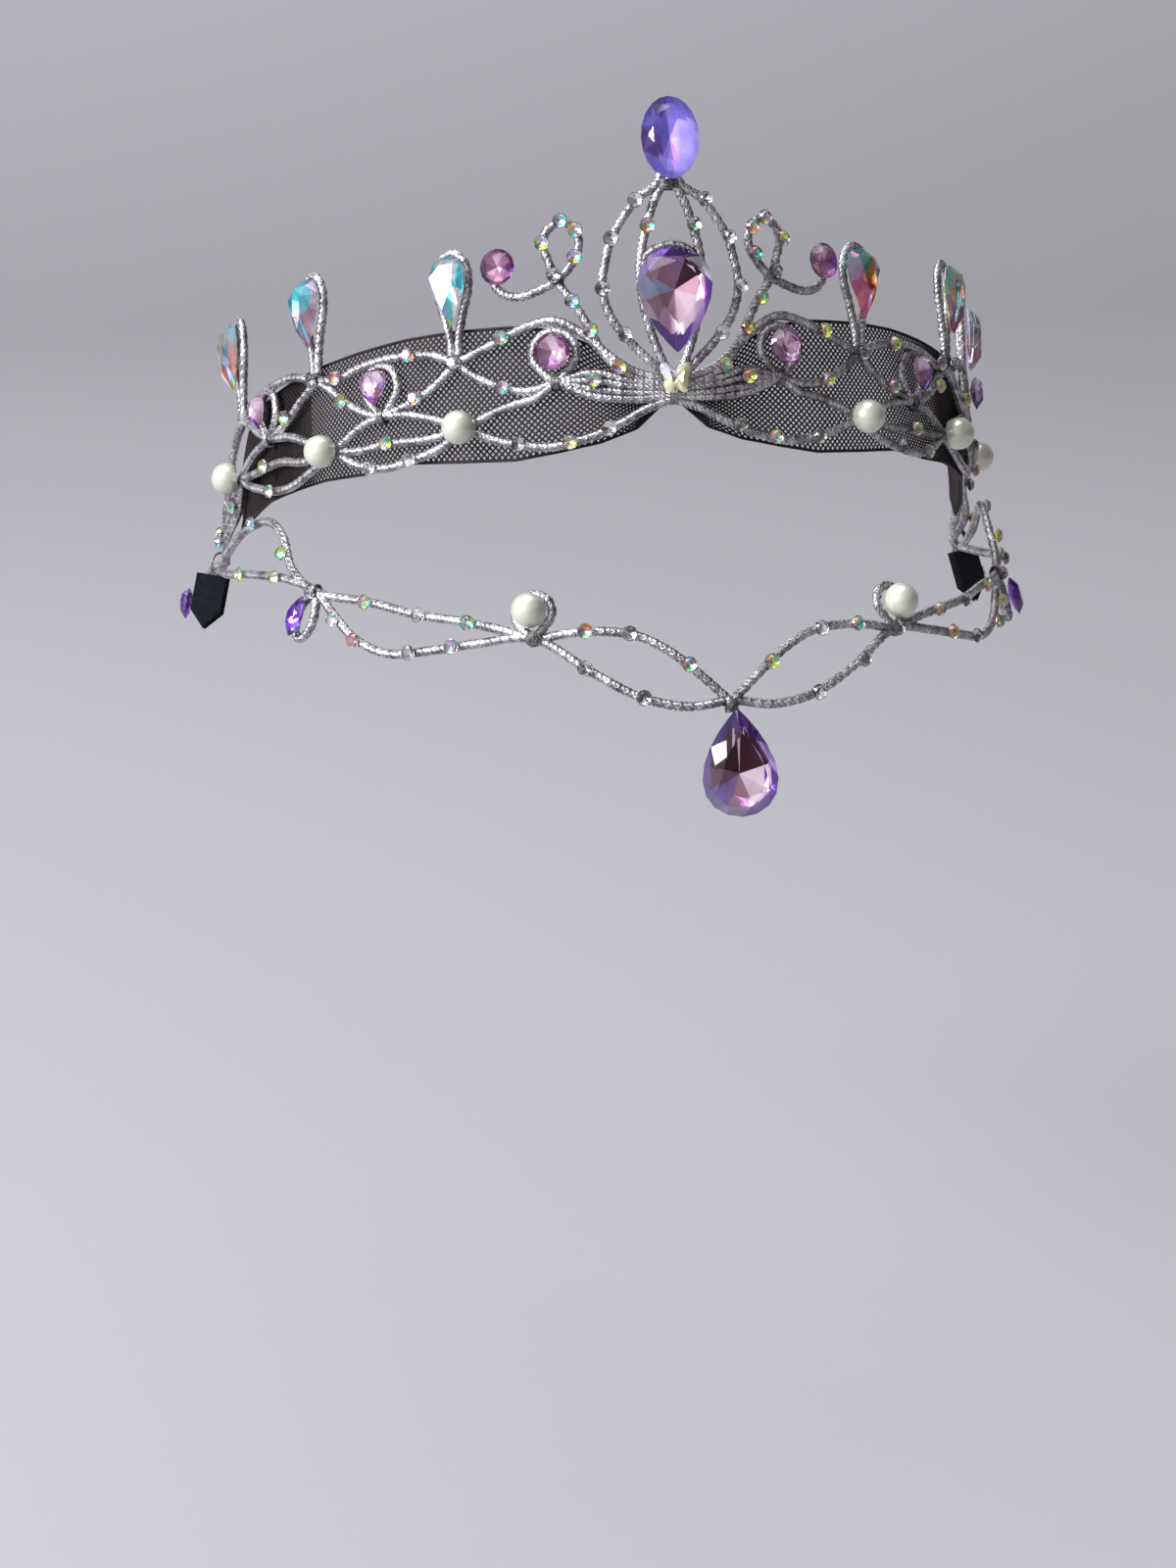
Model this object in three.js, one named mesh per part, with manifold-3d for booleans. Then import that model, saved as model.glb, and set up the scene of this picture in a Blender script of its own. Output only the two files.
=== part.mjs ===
// A ballet tiara: silver cord bent into open scrollwork over a net band, set with
// crystals and pearls, with a two-cord strand that hangs across the forehead.
// Millimetres, +Z up, the front faces -Y. The origin is the centre of the ring where
// the head goes in, and the ring tips back as it does when the tiara is worn.

import * as THREE from "three";
import { mergeVertices } from "three/addons/utils/BufferGeometryUtils.js";
import Module from "manifold-3d";

const wasm = await Module();
wasm.setup();

// The seat is an ellipse round the head, at the height of the crown's pearls.
const SEAT_HALF_WIDTH = 71.2;
const SEAT_HALF_DEPTH = 91.8;
const WORN_TILT = 20; // degrees: the front of the ring is higher than its ends

// Below the seat the head is wider, so the strand lies further out.
const WIDEN = { from: -6, depth: 54, side: 7.5, front: 14 };

const FINEST = 0.06; // edges shorter than this are merged away
const CORD_RADIUS = 0.8;
const CORD_SIDES = 5;
const CORD_STEP = 6.5;
const LOOP_STEP = 3; // in small loops and curls
const CORD_OUT = 1.55; // from the seat's wall to the middle of a band cord
const STRAND_OUT = 2.2;
const GAP = 0.3; // between neighbouring pieces
const NET_THICKNESS = 1;
const NET_OUT = 0.4; // from the seat's wall to the net's outer face
const STONE_LIFT = CORD_RADIUS + GAP; // from a cord's middle to the back of a stone on it

// The centre motif stands in front of the band and leans forward.
const MOTIF_OUT = 3.65;
const MOTIF_FOOT = 5;
const MOTIF_LEAN = 0.1;

// How the strand hangs: turned a little to one side, and slacker there.
const STRAND_TURN = 3.4;
const STRAND_REACH = 94;
const STRAND_SLACK = { left: 0.985, right: 1.04 };

// Cut stones: width, height and thickness, sides of the outline, the table's share of
// the outline, and how far the outline draws in to its point.
const STONES = {
  drop: { width: 13, height: 18, thick: 5.4, sides: 18, table: 0.52, taper: 0.9 },
  oval: { width: 10, height: 14, thick: 4.4, sides: 16, table: 0.58, taper: 0 },
  round: { width: 6.3, height: 6.3, thick: 2.8, sides: 10, table: 0.56, taper: 0 },
  teardrop: { width: 7.6, height: 13, thick: 3, sides: 12, table: 0.55, taper: 1.7 },
  pear: { width: 6.4, height: 6.2, thick: 2.6, sides: 10, table: 0.55, taper: 0.7 },
  navette: { width: 4.6, height: 7.6, thick: 2.4, sides: 10, table: 0.55, taper: 0 },
};
const PEARL = { radius: 3, sides: 10, rings: 6, cut: 1.5 };
const BUTTERFLY_THICK = 1.6;
// The right wings, from the notch below to the notch above.
const WINGS = [[0, -1.75], [1.2, -2.6], [2, -2.1], [2.2, -0.9], [2.15, 0.1], [2.85, 1.8], [2.4, 2.6], [1.2, 2.3], [0, 0.9]];
const LASHING = { radius: 1.35, out: 2.1, end: 3.2 }; // the thread wound round a joint

// The net band: its edges above the seat at angles from the front.
const NET = [
  { angle: 1.2, top: 4.6, bottom: 2.0 },
  { angle: 5, top: 7.5, bottom: -2.2 },
  { angle: 10, top: 12, bottom: -4.3 },
  { angle: 16, top: 15.6, bottom: -5.5 },
  { angle: 22, top: 16.8, bottom: -6.3 },
  { angle: 30, top: 17.2, bottom: -5.6 },
  { angle: 38, top: 17.2, bottom: -4.6 },
  { angle: 46, top: 16.6, bottom: -5.2 },
  { angle: 54, top: 15.8, bottom: -4.8 },
  { angle: 62, top: 14.6, bottom: -5.2 },
  { angle: 70, top: 13, bottom: -5.6 },
  { angle: 78, top: 9.5, bottom: -7.5 },
  { angle: 85, top: 2.5, bottom: -9.5 },
];

// Where cords are lashed together on the band: angle from the front, height.
const JOINTS = {
  front: [0.6, 3.6],
  lobe: [15.6, 6.3],
  scroll: [14.9, 23.6],
  tear1: [29.4, 11.4],
  pear1: [41.2, 4.2],
  tear2: [53.4, 13],
  pear2: [66.2, 5.4],
  tear3: [76.5, 11.2],
  pearl1: [28.3, -0.2],
  pearl2: [50.6, -0.4],
  pearl3: [79, 0.8],
  end: [93.5, -13],
};

const LOOPED = ["loop", "curl", "endCurl"];
const LASHED = ["lobe", "scroll", "tear1", "tear2", "tear3", "pear1", "pear2", "end"];

// The cords of one side of the band, each a run of points between two joints. A point
// is an angle, a height and, where it leaves the band, its distance out.
const J = JOINTS;
const BAND_CORDS = {
  arch: [J.front, [5.5, 7.6], [8.6, 10.6], [11.6, 14.2], [15.4, 16.9], [19, 16.4], [22.6, 14.6], J.tear1],
  stem: [J.front, [5, 6], [7.6, 8.6], [9.6, 12], [10.9, 15.4], [12.4, 19], J.scroll],
  loop: [J.scroll, [15.9, 27.4], [16.5, 30.4], [15.8, 32.7], [14.2, 33.8], [12.7, 33.2], [11.7, 31],
    [11.9, 28.4], [13.2, 25.7], J.scroll],
  curl: [J.scroll, [17.2, 22.4], [19.9, 21.6], [22.2, 22.4], [23.4, 24.6], [22.3, 26.9]],
  lobeHigh: [J.front, [6, 5.7], [10.8, 6.7], J.lobe],
  lobeLow: [J.front, [5.5, 3.4], [10.6, 4.3], J.lobe],
  lobeTear: [J.lobe, [19, 5.2], [22.6, 6.1], [26.8, 8.8], J.tear1],
  lobePearl: [J.lobe, [18.2, 4], [21.8, 3], [25.3, 1.6], J.pearl1],
  hem1: [J.front, [3.4, 1.4], [6.2, -0.8], [9.1, -2.5], [12.6, -3.9], [16.6, -4.7], [21, -3.9], [25.2, -2.2], J.pearl1],
  high2: [J.tear1, [32.6, 13.3], [36, 13.9], [40.5, 14.1], [45, 13.5], [48.8, 12.4], J.tear2],
  dip2: [J.tear1, [32.4, 8.2], [35.5, 6.1], [38.6, 4.9], J.pear1],
  rise2: [J.pear1, [44.4, 5.4], [47.8, 8.1], [50.8, 11.1], J.tear2],
  pearlIn2: [J.pearl1, [32.2, 1.9], [37, 3.7], J.pear1],
  pearlOut2: [J.pear1, [44.6, 3.3], [47.6, 1.5], J.pearl2],
  middle2: [J.pearl1, [34.4, -1.1], [40.2, -0.8], [45, -1.1], J.pearl2],
  hem2: [J.pearl1, [32.4, -3], [36.8, -4.4], [41, -5], [45.4, -3.9], J.pearl2],
  high3: [J.tear2, [58, 14.9], [63.5, 15], [70, 13.4], J.tear3],
  dip3: [J.tear2, [57, 10.4], [60.2, 7.8], [63.2, 6.2], J.pear2],
  rise3: [J.pear2, [69.6, 7.2], [73, 9.6], J.tear3],
  pearlIn3: [J.pearl2, [55.4, 2.2], [60.2, 4.4], J.pear2],
  pearlOut3: [J.pear2, [70, 4.4], [74, 3], J.pearl3],
  middle3: [J.pearl2, [57, -0.8], [63, 0.4], [69.6, 0.2], [74.6, 0.2], J.pearl3],
  hem3: [J.pearl2, [55.6, -3], [60, -4.6], [65, -4.6], [70, -3.2], [75, -1.4], J.pearl3],
  endHigh: [J.tear3, [82, 8.4], [86.4, 2.4, 2.4], [90, -4.6, 3], J.end],
  endMiddle: [J.pearl3, [84, -1.8], [88.6, -6.4, 2.6], J.end],
  endLow: [J.pearl3, [82, -4.6], [86.6, -9.4, 2.4], J.end],
  endCurl: [J.end, [97.4, -13.4, 4.4], [100.6, -15.6, 6], [101, -19, 6.6], [99, -21.6, 6.2]],
};

// Half outlines of the centre motif.
const MOTIF_CORDS = {
  outer: [[0.7, 5.4], [2.9, 8.4], [5.4, 11.8], [7.7, 16], [8.7, 21], [8.2, 25.4], [7.3, 29.4], [5.7, 33],
    [3.7, 36.2], [1.7, 38], [0.7, 40.6]],
  inner: [[0.5, 6.2], [1.6, 9], [2.9, 14], [3.7, 19], [3.9, 23.4], [3.6, 27.5], [2.9, 31.2], [2, 35], [0.9, 38]],
};
const MOTIF_ARCH = [[-3.7, 23.4], [-3.1, 26.4], [0, 28.2], [3.1, 26.4], [3.7, 23.4]];
const PEAR_HEIGHT = 18.2;
const OVAL_HEIGHT = 45.4;

// The strand, as angles from its drop and heights, in two cords that cross at joints.
const STRAND_JOINTS = { knot: [0.25, -50.4], pearl: [23, -38.4], navette: [54.2, -25.8], end: [91.6, -14.9] };
const S = STRAND_JOINTS;
const STRAND_CORDS = {
  high: [S.knot, [3.8, -45.6], [7.2, -41.6], [11, -38.8], [15.4, -37.8], [19.4, -37.9], S.pearl, [27, -36.4],
    [32, -34.4], [38, -32.4], [45, -29.2], S.navette, [59.6, -20.6], [62.4, -14.6], [66.8, -10.6],
    [75, -10.4], [83.4, -12.9], S.end],
  low: [S.knot, [5.2, -51.2], [10.6, -49.4], [16.4, -44.6], S.pearl, [29.6, -38.4], [36, -38.9],
    [42, -38.7], [47, -35.4], [50.4, -31], S.navette, [60, -22.6], [69, -20], [80, -17.8], S.end],
};

// Settings: which stone stands over which joint, how far above it, and its cord loop.
const TEARDROPS = { joints: ["tear1", "tear2", "tear3"], lift: 12.2 };
const LOOP_RADIUS = 3.9;
// The strand's navette hangs askew: its middle from its joint, and its turn.
const NAVETTE_HANG = { angle: 1.6, drop: 4.4, turn: 32, loop: 5.2 };
const TAB = { angle: 94.8, top: -15, out: 3.8, turned: 70, width: 6.8, straight: 7.5, point: 3.5, thick: 1.8 };

const SILVER = { color: "#b9b6bd", roughness: 0.45, metalness: 0.7 };
const NET_BROWN = { color: "#4b4043", roughness: 0.8, metalness: 0 };
const AMETHYST = { color: "#a06cc8", roughness: 0.1, metalness: 0.1 };
const OPAL = { color: "#8f7ce0", roughness: 0.12, metalness: 0.1 };
const AURORA = { color: "#a9d6dc", roughness: 0.1, metalness: 0.3 };
const PEARLY = { color: "#f2eee4", roughness: 0.25, metalness: 0 };
const ELASTIC = { color: "#17181c", roughness: 0.9, metalness: 0 };

const degrees = THREE.MathUtils.degToRad;

// A point on the head's side of the ring: angle from the front, height above the seat
// and distance out from the seat's wall.
function wallPoint(angle, height, out = CORD_OUT) {
  const below = THREE.MathUtils.clamp((WIDEN.from - height) / WIDEN.depth, 0, 1);
  const widening = below * (2 - below);
  const turn = degrees(angle);
  const halfWidth = SEAT_HALF_WIDTH + WIDEN.side * widening;
  const halfDepth = SEAT_HALF_DEPTH + (Math.cos(turn) > 0 ? WIDEN.front * widening : 0);
  const normal = new THREE.Vector3(Math.sin(turn) / halfWidth, -Math.cos(turn) / halfDepth, 0).normalize();
  const foot = new THREE.Vector3(halfWidth * Math.sin(turn), -halfDepth * Math.cos(turn), height);
  return foot.addScaledVector(normal, out);
}

// The frame of a piece set on the wall: x along the wall, y up it and z straight out.
function wallFrame(angle, height, out, spin = 0) {
  const origin = wallPoint(angle, height, out);
  const up = wallPoint(angle, height + 1, out).sub(wallPoint(angle, height - 1, out)).normalize();
  const along = wallPoint(angle + 1, height, out).sub(wallPoint(angle - 1, height, out)).normalize();
  const outward = along.clone().cross(up).normalize();
  const frame = new THREE.Matrix4().makeBasis(up.clone().cross(outward), up, outward);
  return frame.multiply(new THREE.Matrix4().makeRotationZ(degrees(spin))).setPosition(origin);
}

function solidOf(geometry) {
  const bare = geometry.clone();
  bare.deleteAttribute("normal");
  bare.deleteAttribute("uv");
  const merged = mergeVertices(bare, 1e-4);
  return new wasm.Manifold(
    new wasm.Mesh({
      numProp: 3,
      vertProperties: merged.attributes.position.array,
      triVerts: new Uint32Array(merged.index.array),
    }),
  );
}

// Lashed cords can close a pocket between them, so only the outer skin is kept.
function geometryOf(solid) {
  const [outer] = solid.simplify(FINEST).decompose().sort((a, b) => b.volume() - a.volume());
  const mesh = outer.getMesh();
  const geometry = new THREE.BufferGeometry();
  geometry.setAttribute("position", new THREE.BufferAttribute(mesh.vertProperties, 3));
  geometry.setIndex(new THREE.BufferAttribute(mesh.triVerts, 1));
  geometry.computeVertexNormals();
  return geometry;
}

const joined = (solids) => solids.reduce((all, next) => all.add(next));

function tube(points, radius = CORD_RADIUS, step = CORD_STEP) {
  const path = new THREE.CatmullRomCurve3(points, false, "centripetal");
  const section = new THREE.Shape();
  for (let side = 0; side < CORD_SIDES; side++) {
    const turn = (side / CORD_SIDES) * 2 * Math.PI;
    section[side ? "lineTo" : "moveTo"](radius * Math.cos(turn), radius * Math.sin(turn));
  }
  section.closePath();
  const steps = Math.max(2, Math.round(path.getLength() / step));
  return solidOf(new THREE.ExtrudeGeometry(section, { steps, bevelEnabled: false, extrudePath: path }));
}

// A stone is rings of one outline: a back, a girdle, a shoulder and a table.
function cutStone(outline, thick, table, focus = 0) {
  const rings = [
    { share: 0.8, height: 0 },
    { share: 1, height: 0.3 },
    { share: (1 + table) / 2, height: 0.78 },
    { share: table, height: 1 },
  ];
  const positions = [];
  const triangles = [];
  const count = outline.length;
  for (const ring of rings)
    for (const [x, y] of outline)
      positions.push(x * ring.share, focus + (y - focus) * ring.share, thick * ring.height);
  const back = positions.push(0, focus, 0) / 3 - 1;
  const front = positions.push(0, focus, thick) / 3 - 1;
  const last = (rings.length - 1) * count;
  for (let i = 0; i < count; i++) {
    const next = (i + 1) % count;
    triangles.push(back, next, i, front, last + i, last + next);
    for (let low = 0; low < last; low += count) {
      const high = low + count;
      triangles.push(low + i, low + next, high + next, low + i, high + next, high + i);
    }
  }
  const geometry = new THREE.BufferGeometry();
  geometry.setAttribute("position", new THREE.Float32BufferAttribute(positions, 3));
  geometry.setIndex(triangles);
  return geometry;
}

// The outline of an oval, or of a pear whose point is down, going anticlockwise.
function stoneOutline({ width, height, sides, taper }) {
  const wide = (turn) => Math.sin(turn) * Math.sin(turn / 2) ** taper;
  const widest = Math.max(...Array.from({ length: 90 }, (_, i) => wide(degrees(i * 2))));
  return Array.from({ length: sides }, (_, i) => {
    const turn = (i / sides) * 2 * Math.PI;
    const x = turn <= Math.PI ? wide(turn) : -wide(2 * Math.PI - turn);
    return [((x / widest) * width) / 2, (-Math.cos(turn) * height) / 2];
  });
}

function stone(kind) {
  const size = STONES[kind];
  const focus = size.taper ? size.height * 0.1 : 0;
  return cutStone(stoneOutline(size), size.thick, size.table, focus);
}

// A navette comes to a point at both ends.
function navette() {
  const { width, height, sides, thick, table } = STONES.navette;
  const outline = Array.from({ length: sides }, (_, i) => {
    const turn = (i / sides) * 2 * Math.PI;
    return [(Math.sin(turn) * Math.abs(Math.sin(turn)) ** 0.5 * width) / 2, (-Math.cos(turn) * height) / 2];
  });
  return cutStone(outline, thick, table);
}

// Four wings, the upper pair wider than the lower.
function butterfly() {
  const leftWings = WINGS.slice(1, -1).toReversed().map(([x, y]) => [-x, y]);
  return cutStone([...WINGS, ...leftWings], BUTTERFLY_THICK, 0.6);
}

// A pearl with a flat back, from a profile turned round its axis.
function pearl() {
  const low = Math.asin(PEARL.cut / PEARL.radius);
  const profile = [new THREE.Vector2(0, 0)];
  for (let i = 0; i < PEARL.rings; i++) {
    const turn = -low + ((low + Math.PI / 2) * i) / (PEARL.rings - 1);
    const across = i < PEARL.rings - 1 ? PEARL.radius * Math.cos(turn) : 0;
    profile.push(new THREE.Vector2(across, PEARL.radius * Math.sin(turn) + PEARL.cut));
  }
  return new THREE.LatheGeometry(profile, PEARL.sides).rotateX(Math.PI / 2);
}

function lashing(point, radius = LASHING.radius) {
  return solidOf(new THREE.IcosahedronGeometry(radius, 0).translate(point.x, point.y, point.z));
}

// A loop of cord round a stone's edge, open at its foot where it is lashed.
function settingLoop(frame, radius, footDrop, stretch = 1) {
  const points = [new THREE.Vector3(-0.3, -footDrop, 0)];
  for (let turn = -60; turn <= 240; turn += 50)
    points.push(new THREE.Vector3(radius * Math.cos(degrees(240 - turn - 60)), radius * stretch
      * Math.sin(degrees(240 - turn - 60)), 0));
  points.push(new THREE.Vector3(0.3, -footDrop, 0));
  return tube(points.map((point) => point.applyMatrix4(frame)), CORD_RADIUS * 0.85, LOOP_STEP);
}

// The hairpin of cord behind a teardrop, from its joint up over the stone's round end.
function hairpin(frame, footDrop) {
  const half = [[0.5, -footDrop], [1, -8.2], [2.2, -3.4], [3.3, 1.2], [3, 4.4], [1.6, 6.4]];
  const points = [
    ...half.map(([x, y]) => new THREE.Vector3(-x, y, 0)),
    new THREE.Vector3(0, 7, 0),
    ...half.toReversed().map(([x, y]) => new THREE.Vector3(x, y, 0)),
  ];
  return tube(points.map((point) => point.applyMatrix4(frame)), CORD_RADIUS, CORD_STEP * 0.8);
}

function netBand(side) {
  const ROWS = 3;
  const positions = [];
  const triangles = [];
  for (const { angle, top, bottom } of NET)
    for (const out of [NET_OUT - NET_THICKNESS, NET_OUT])
      for (let row = 0; row < ROWS; row++)
        positions.push(...wallPoint(side * angle, bottom + ((top - bottom) * row) / (ROWS - 1), out).toArray());
  const at = (station, layer, row) => station * 2 * ROWS + layer * ROWS + row;
  const quad = (a, b, c, d) => triangles.push(...(side > 0 ? [a, b, c, a, c, d] : [a, c, b, a, d, c]));
  const last = NET.length - 1;
  const top = ROWS - 1;
  for (let i = 0; i < last; i++) {
    for (let row = 0; row < top; row++) {
      quad(at(i, 1, row), at(i + 1, 1, row), at(i + 1, 1, row + 1), at(i, 1, row + 1));
      quad(at(i, 0, row), at(i, 0, row + 1), at(i + 1, 0, row + 1), at(i + 1, 0, row));
    }
    quad(at(i, 0, 0), at(i + 1, 0, 0), at(i + 1, 1, 0), at(i, 1, 0));
    quad(at(i, 1, top), at(i + 1, 1, top), at(i + 1, 0, top), at(i, 0, top));
  }
  for (let row = 0; row < top; row++) {
    quad(at(0, 0, row), at(0, 1, row), at(0, 1, row + 1), at(0, 0, row + 1));
    quad(at(last, 1, row), at(last, 0, row), at(last, 0, row + 1), at(last, 1, row + 1));
  }
  const geometry = new THREE.BufferGeometry();
  geometry.setAttribute("position", new THREE.Float32BufferAttribute(positions, 3));
  geometry.setIndex(triangles);
  return geometry;
}

const worn = new THREE.Group();
worn.rotation.x = -degrees(WORN_TILT);

function add(name, geometry, material, frame) {
  const mesh = new THREE.Mesh(geometry, new THREE.MeshStandardMaterial(material));
  mesh.name = name;
  if (frame) mesh.applyMatrix4(frame);
  worn.add(mesh);
}

// A stone or pearl laid on a cord whose middle is `out` from the wall.
function setOn(name, geometry, material, angle, height, out, spin = 0) {
  add(name, geometry, material, wallFrame(angle, height, out + STONE_LIFT, spin));
}

function cordBand(side) {
  const pieces = [];
  for (const [name, cord] of Object.entries(BAND_CORDS)) {
    const points = cord.map(([angle, height, out]) => wallPoint(side * angle, height, out));
    pieces.push(tube(points, CORD_RADIUS, LOOPED.includes(name) ? LOOP_STEP : CORD_STEP));
  }
  for (const name of LASHED) {
    const [angle, height] = JOINTS[name];
    pieces.push(lashing(wallPoint(side * angle, height, name === "end" ? LASHING.end : LASHING.out)));
  }
  for (const joint of TEARDROPS.joints) {
    const [angle, height] = JOINTS[joint];
    pieces.push(hairpin(wallFrame(side * angle, height + TEARDROPS.lift, CORD_OUT), TEARDROPS.lift));
  }
  for (const joint of ["lobe", "pear1", "pear2"]) {
    const [angle, height] = JOINTS[joint];
    pieces.push(settingLoop(wallFrame(side * angle, height + 5, CORD_OUT), LOOP_RADIUS, 5));
  }
  const half = joined(pieces);
  const middle = new THREE.BoxGeometry(GAP, 400, 400);
  return half.subtract(solidOf(middle));
}

const motifOut = (height) => MOTIF_OUT + MOTIF_LEAN * (height - MOTIF_FOOT);

function motifPoint([angle, height], side = 1) {
  return wallPoint(side * angle, height, motifOut(height));
}

function centreMotif() {
  const pieces = [tube(MOTIF_ARCH.map((point) => motifPoint(point)))];
  for (const side of [-1, 1])
    for (const cord of Object.values(MOTIF_CORDS)) pieces.push(tube(cord.map((point) => motifPoint(point, side))));
  pieces.push(lashing(motifPoint([0, 6]), 1.45));
  pieces.push(lashing(motifPoint([0, 38.2]), 1.7));
  pieces.push(tube([motifPoint([0, 37.5]), motifPoint([0, 42]), motifPoint([0, 47])]));
  return joined(pieces);
}

// The strand's own angles, turned and slackened to where it hangs on the head.
function strandAngle(side, angle) {
  const slack = side < 0 ? STRAND_SLACK.left : STRAND_SLACK.right;
  const reach = angle / STRAND_REACH;
  const spread = slack + (1 - slack) * reach ** 4;
  return side * angle * spread + STRAND_TURN * (1 - reach ** 2);
}

const strandPoint = (side, [angle, height]) => wallPoint(strandAngle(side, angle), height, STRAND_OUT);

// Where a navette hangs below its joint, or the loop behind it when turned by 180.
function hangingFrame(side, angle, height, spin = 0, out = STRAND_OUT) {
  const across = strandAngle(side, angle) + side * NAVETTE_HANG.angle;
  return wallFrame(across, height - NAVETTE_HANG.drop, out, spin + side * NAVETTE_HANG.turn);
}

function foreheadStrand(side) {
  const pieces = [];
  for (const cord of Object.values(STRAND_CORDS)) pieces.push(tube(cord.map((point) => strandPoint(side, point))));
  for (const joint of ["pearl", "navette"]) pieces.push(lashing(strandPoint(side, STRAND_JOINTS[joint])));
  const [pearlAngle, pearlHeight] = STRAND_JOINTS.pearl;
  pieces.push(settingLoop(wallFrame(strandAngle(side, pearlAngle), pearlHeight + 4.4, STRAND_OUT), 3.3, 4.4));
  const [angle, height] = STRAND_JOINTS.navette;
  pieces.push(settingLoop(hangingFrame(side, angle, height, 180), 2.7, NAVETTE_HANG.loop, 1.5));
  const parting = new THREE.BoxGeometry(GAP, 60, 60).applyMatrix4(wallFrame(STRAND_TURN, S.knot[1], STRAND_OUT));
  return joined(pieces).subtract(solidOf(parting));
}

// The woven tab at each end of the band, folded to a point and turned towards the front.
function hairTab(side) {
  const outline = new THREE.Shape();
  outline.moveTo(-TAB.width / 2, 0);
  outline.lineTo(-TAB.width / 2, -TAB.straight);
  outline.lineTo(0, -TAB.straight - TAB.point);
  outline.lineTo(TAB.width / 2, -TAB.straight);
  outline.lineTo(TAB.width / 2, 0);
  const slab = new THREE.ExtrudeGeometry(outline, { depth: TAB.thick, bevelEnabled: false });
  return slab.translate(0, 0, -TAB.thick / 2).rotateY(degrees(-side * TAB.turned));
}

for (const [side, hand] of [[-1, "left"], [1, "right"]]) {
  add("net_band_" + hand, netBand(side), NET_BROWN);
  add("cord_band_" + hand, geometryOf(cordBand(side)), SILVER);
  add("forehead_strand_" + hand, geometryOf(foreheadStrand(side)), SILVER);
  TEARDROPS.joints.forEach((joint, i) => {
    const [angle, height] = JOINTS[joint];
    setOn(`teardrop_${hand}_${i + 1}`, stone("teardrop"), AURORA, side * angle, height + TEARDROPS.lift, CORD_OUT);
  });
  ["pear1", "pear2"].forEach((joint, i) => {
    const [angle, height] = JOINTS[joint];
    setOn(`band_pear_${hand}_${i + 1}`, stone("pear"), AMETHYST, side * angle, height + 5, CORD_OUT);
  });
  ["pearl1", "pearl2", "pearl3"].forEach((joint, i) => {
    const [angle, height] = JOINTS[joint];
    setOn(`band_pearl_${hand}_${i + 1}`, pearl(), PEARLY, side * angle, height, CORD_OUT + GAP);
  });
  const [lobeAngle, lobeHeight] = JOINTS.lobe;
  setOn("lobe_crystal_" + hand, stone("round"), AMETHYST, side * lobeAngle, lobeHeight + 5, CORD_OUT);
  setOn("scroll_crystal_" + hand, stone("round"), AMETHYST, side * 22.2, 26.7, CORD_OUT);
  const [pearlAngle, pearlHeight] = STRAND_JOINTS.pearl;
  setOn("strand_pearl_" + hand, pearl(), PEARLY, strandAngle(side, pearlAngle), pearlHeight + 4.4, STRAND_OUT);
  const [angle, height] = STRAND_JOINTS.navette;
  add("strand_navette_" + hand, navette(), AMETHYST, hangingFrame(side, angle, height, 0, STRAND_OUT + STONE_LIFT));
  setOn("end_crystal_" + hand, stone("pear"), AMETHYST, side * 99.6, -20, 6.5);
  add("hair_tab_" + hand, hairTab(side), ELASTIC, wallFrame(side * TAB.angle, TAB.top, TAB.out));
}
add("centre_motif", geometryOf(centreMotif()), SILVER);
setOn("centre_drop", stone("drop"), AMETHYST, 0, PEAR_HEIGHT, motifOut(PEAR_HEIGHT));
setOn("top_oval", stone("oval"), OPAL, 0, OVAL_HEIGHT, motifOut(OVAL_HEIGHT));
setOn("butterfly", butterfly(), AURORA, 0, 5.4, motifOut(6) + 0.5);
setOn("forehead_drop", stone("drop"), AMETHYST, STRAND_TURN, -61, STRAND_OUT - 0.5, 180);

export default worn;
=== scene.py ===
"""Looks of a ballet tiara: braided silver cord over a fine net, set with cut stones and pearls.

Lengths inside the script are millimetres on the ring that the tiara is built on: an angle
from the front, a height above the seat and a distance out from the seat's wall. The ring
tips back as it does when worn, and meshes are made in metres in the frame of the model.
"""

import math
from random import Random

import bpy
import numpy as np
from mathutils import Matrix, Vector


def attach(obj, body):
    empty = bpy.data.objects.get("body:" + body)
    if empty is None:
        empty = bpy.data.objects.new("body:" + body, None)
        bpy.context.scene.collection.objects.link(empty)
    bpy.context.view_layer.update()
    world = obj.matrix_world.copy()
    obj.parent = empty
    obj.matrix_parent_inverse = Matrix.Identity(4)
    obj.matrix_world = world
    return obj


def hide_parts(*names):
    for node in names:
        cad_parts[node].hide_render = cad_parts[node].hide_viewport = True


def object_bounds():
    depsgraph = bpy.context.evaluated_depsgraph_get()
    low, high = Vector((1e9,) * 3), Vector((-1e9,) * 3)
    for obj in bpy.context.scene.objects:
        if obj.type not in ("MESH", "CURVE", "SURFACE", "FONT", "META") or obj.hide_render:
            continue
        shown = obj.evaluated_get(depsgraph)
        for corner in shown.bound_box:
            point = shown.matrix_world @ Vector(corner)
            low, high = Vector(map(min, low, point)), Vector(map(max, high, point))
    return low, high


bl_info = {
    "name": "Ballet Tiara",
    "version": (1, 0, 0),
    "blender": (4, 5, 0),
    "location": "View3D > Sidebar > Tiara",
    "description": "Makes a ballet tiara of braided cord, net, cut stones and pearls",
    "category": "Add Mesh",
}

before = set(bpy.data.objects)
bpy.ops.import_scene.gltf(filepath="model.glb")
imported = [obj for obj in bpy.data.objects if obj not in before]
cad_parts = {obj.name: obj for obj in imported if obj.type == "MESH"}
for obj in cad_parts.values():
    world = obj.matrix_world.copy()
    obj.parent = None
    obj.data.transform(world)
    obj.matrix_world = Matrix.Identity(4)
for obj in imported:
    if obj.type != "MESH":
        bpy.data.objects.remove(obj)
CAD_LOW, CAD_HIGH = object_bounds()

MM = 0.001
SIDES = {"left": -1, "right": 1}

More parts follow.
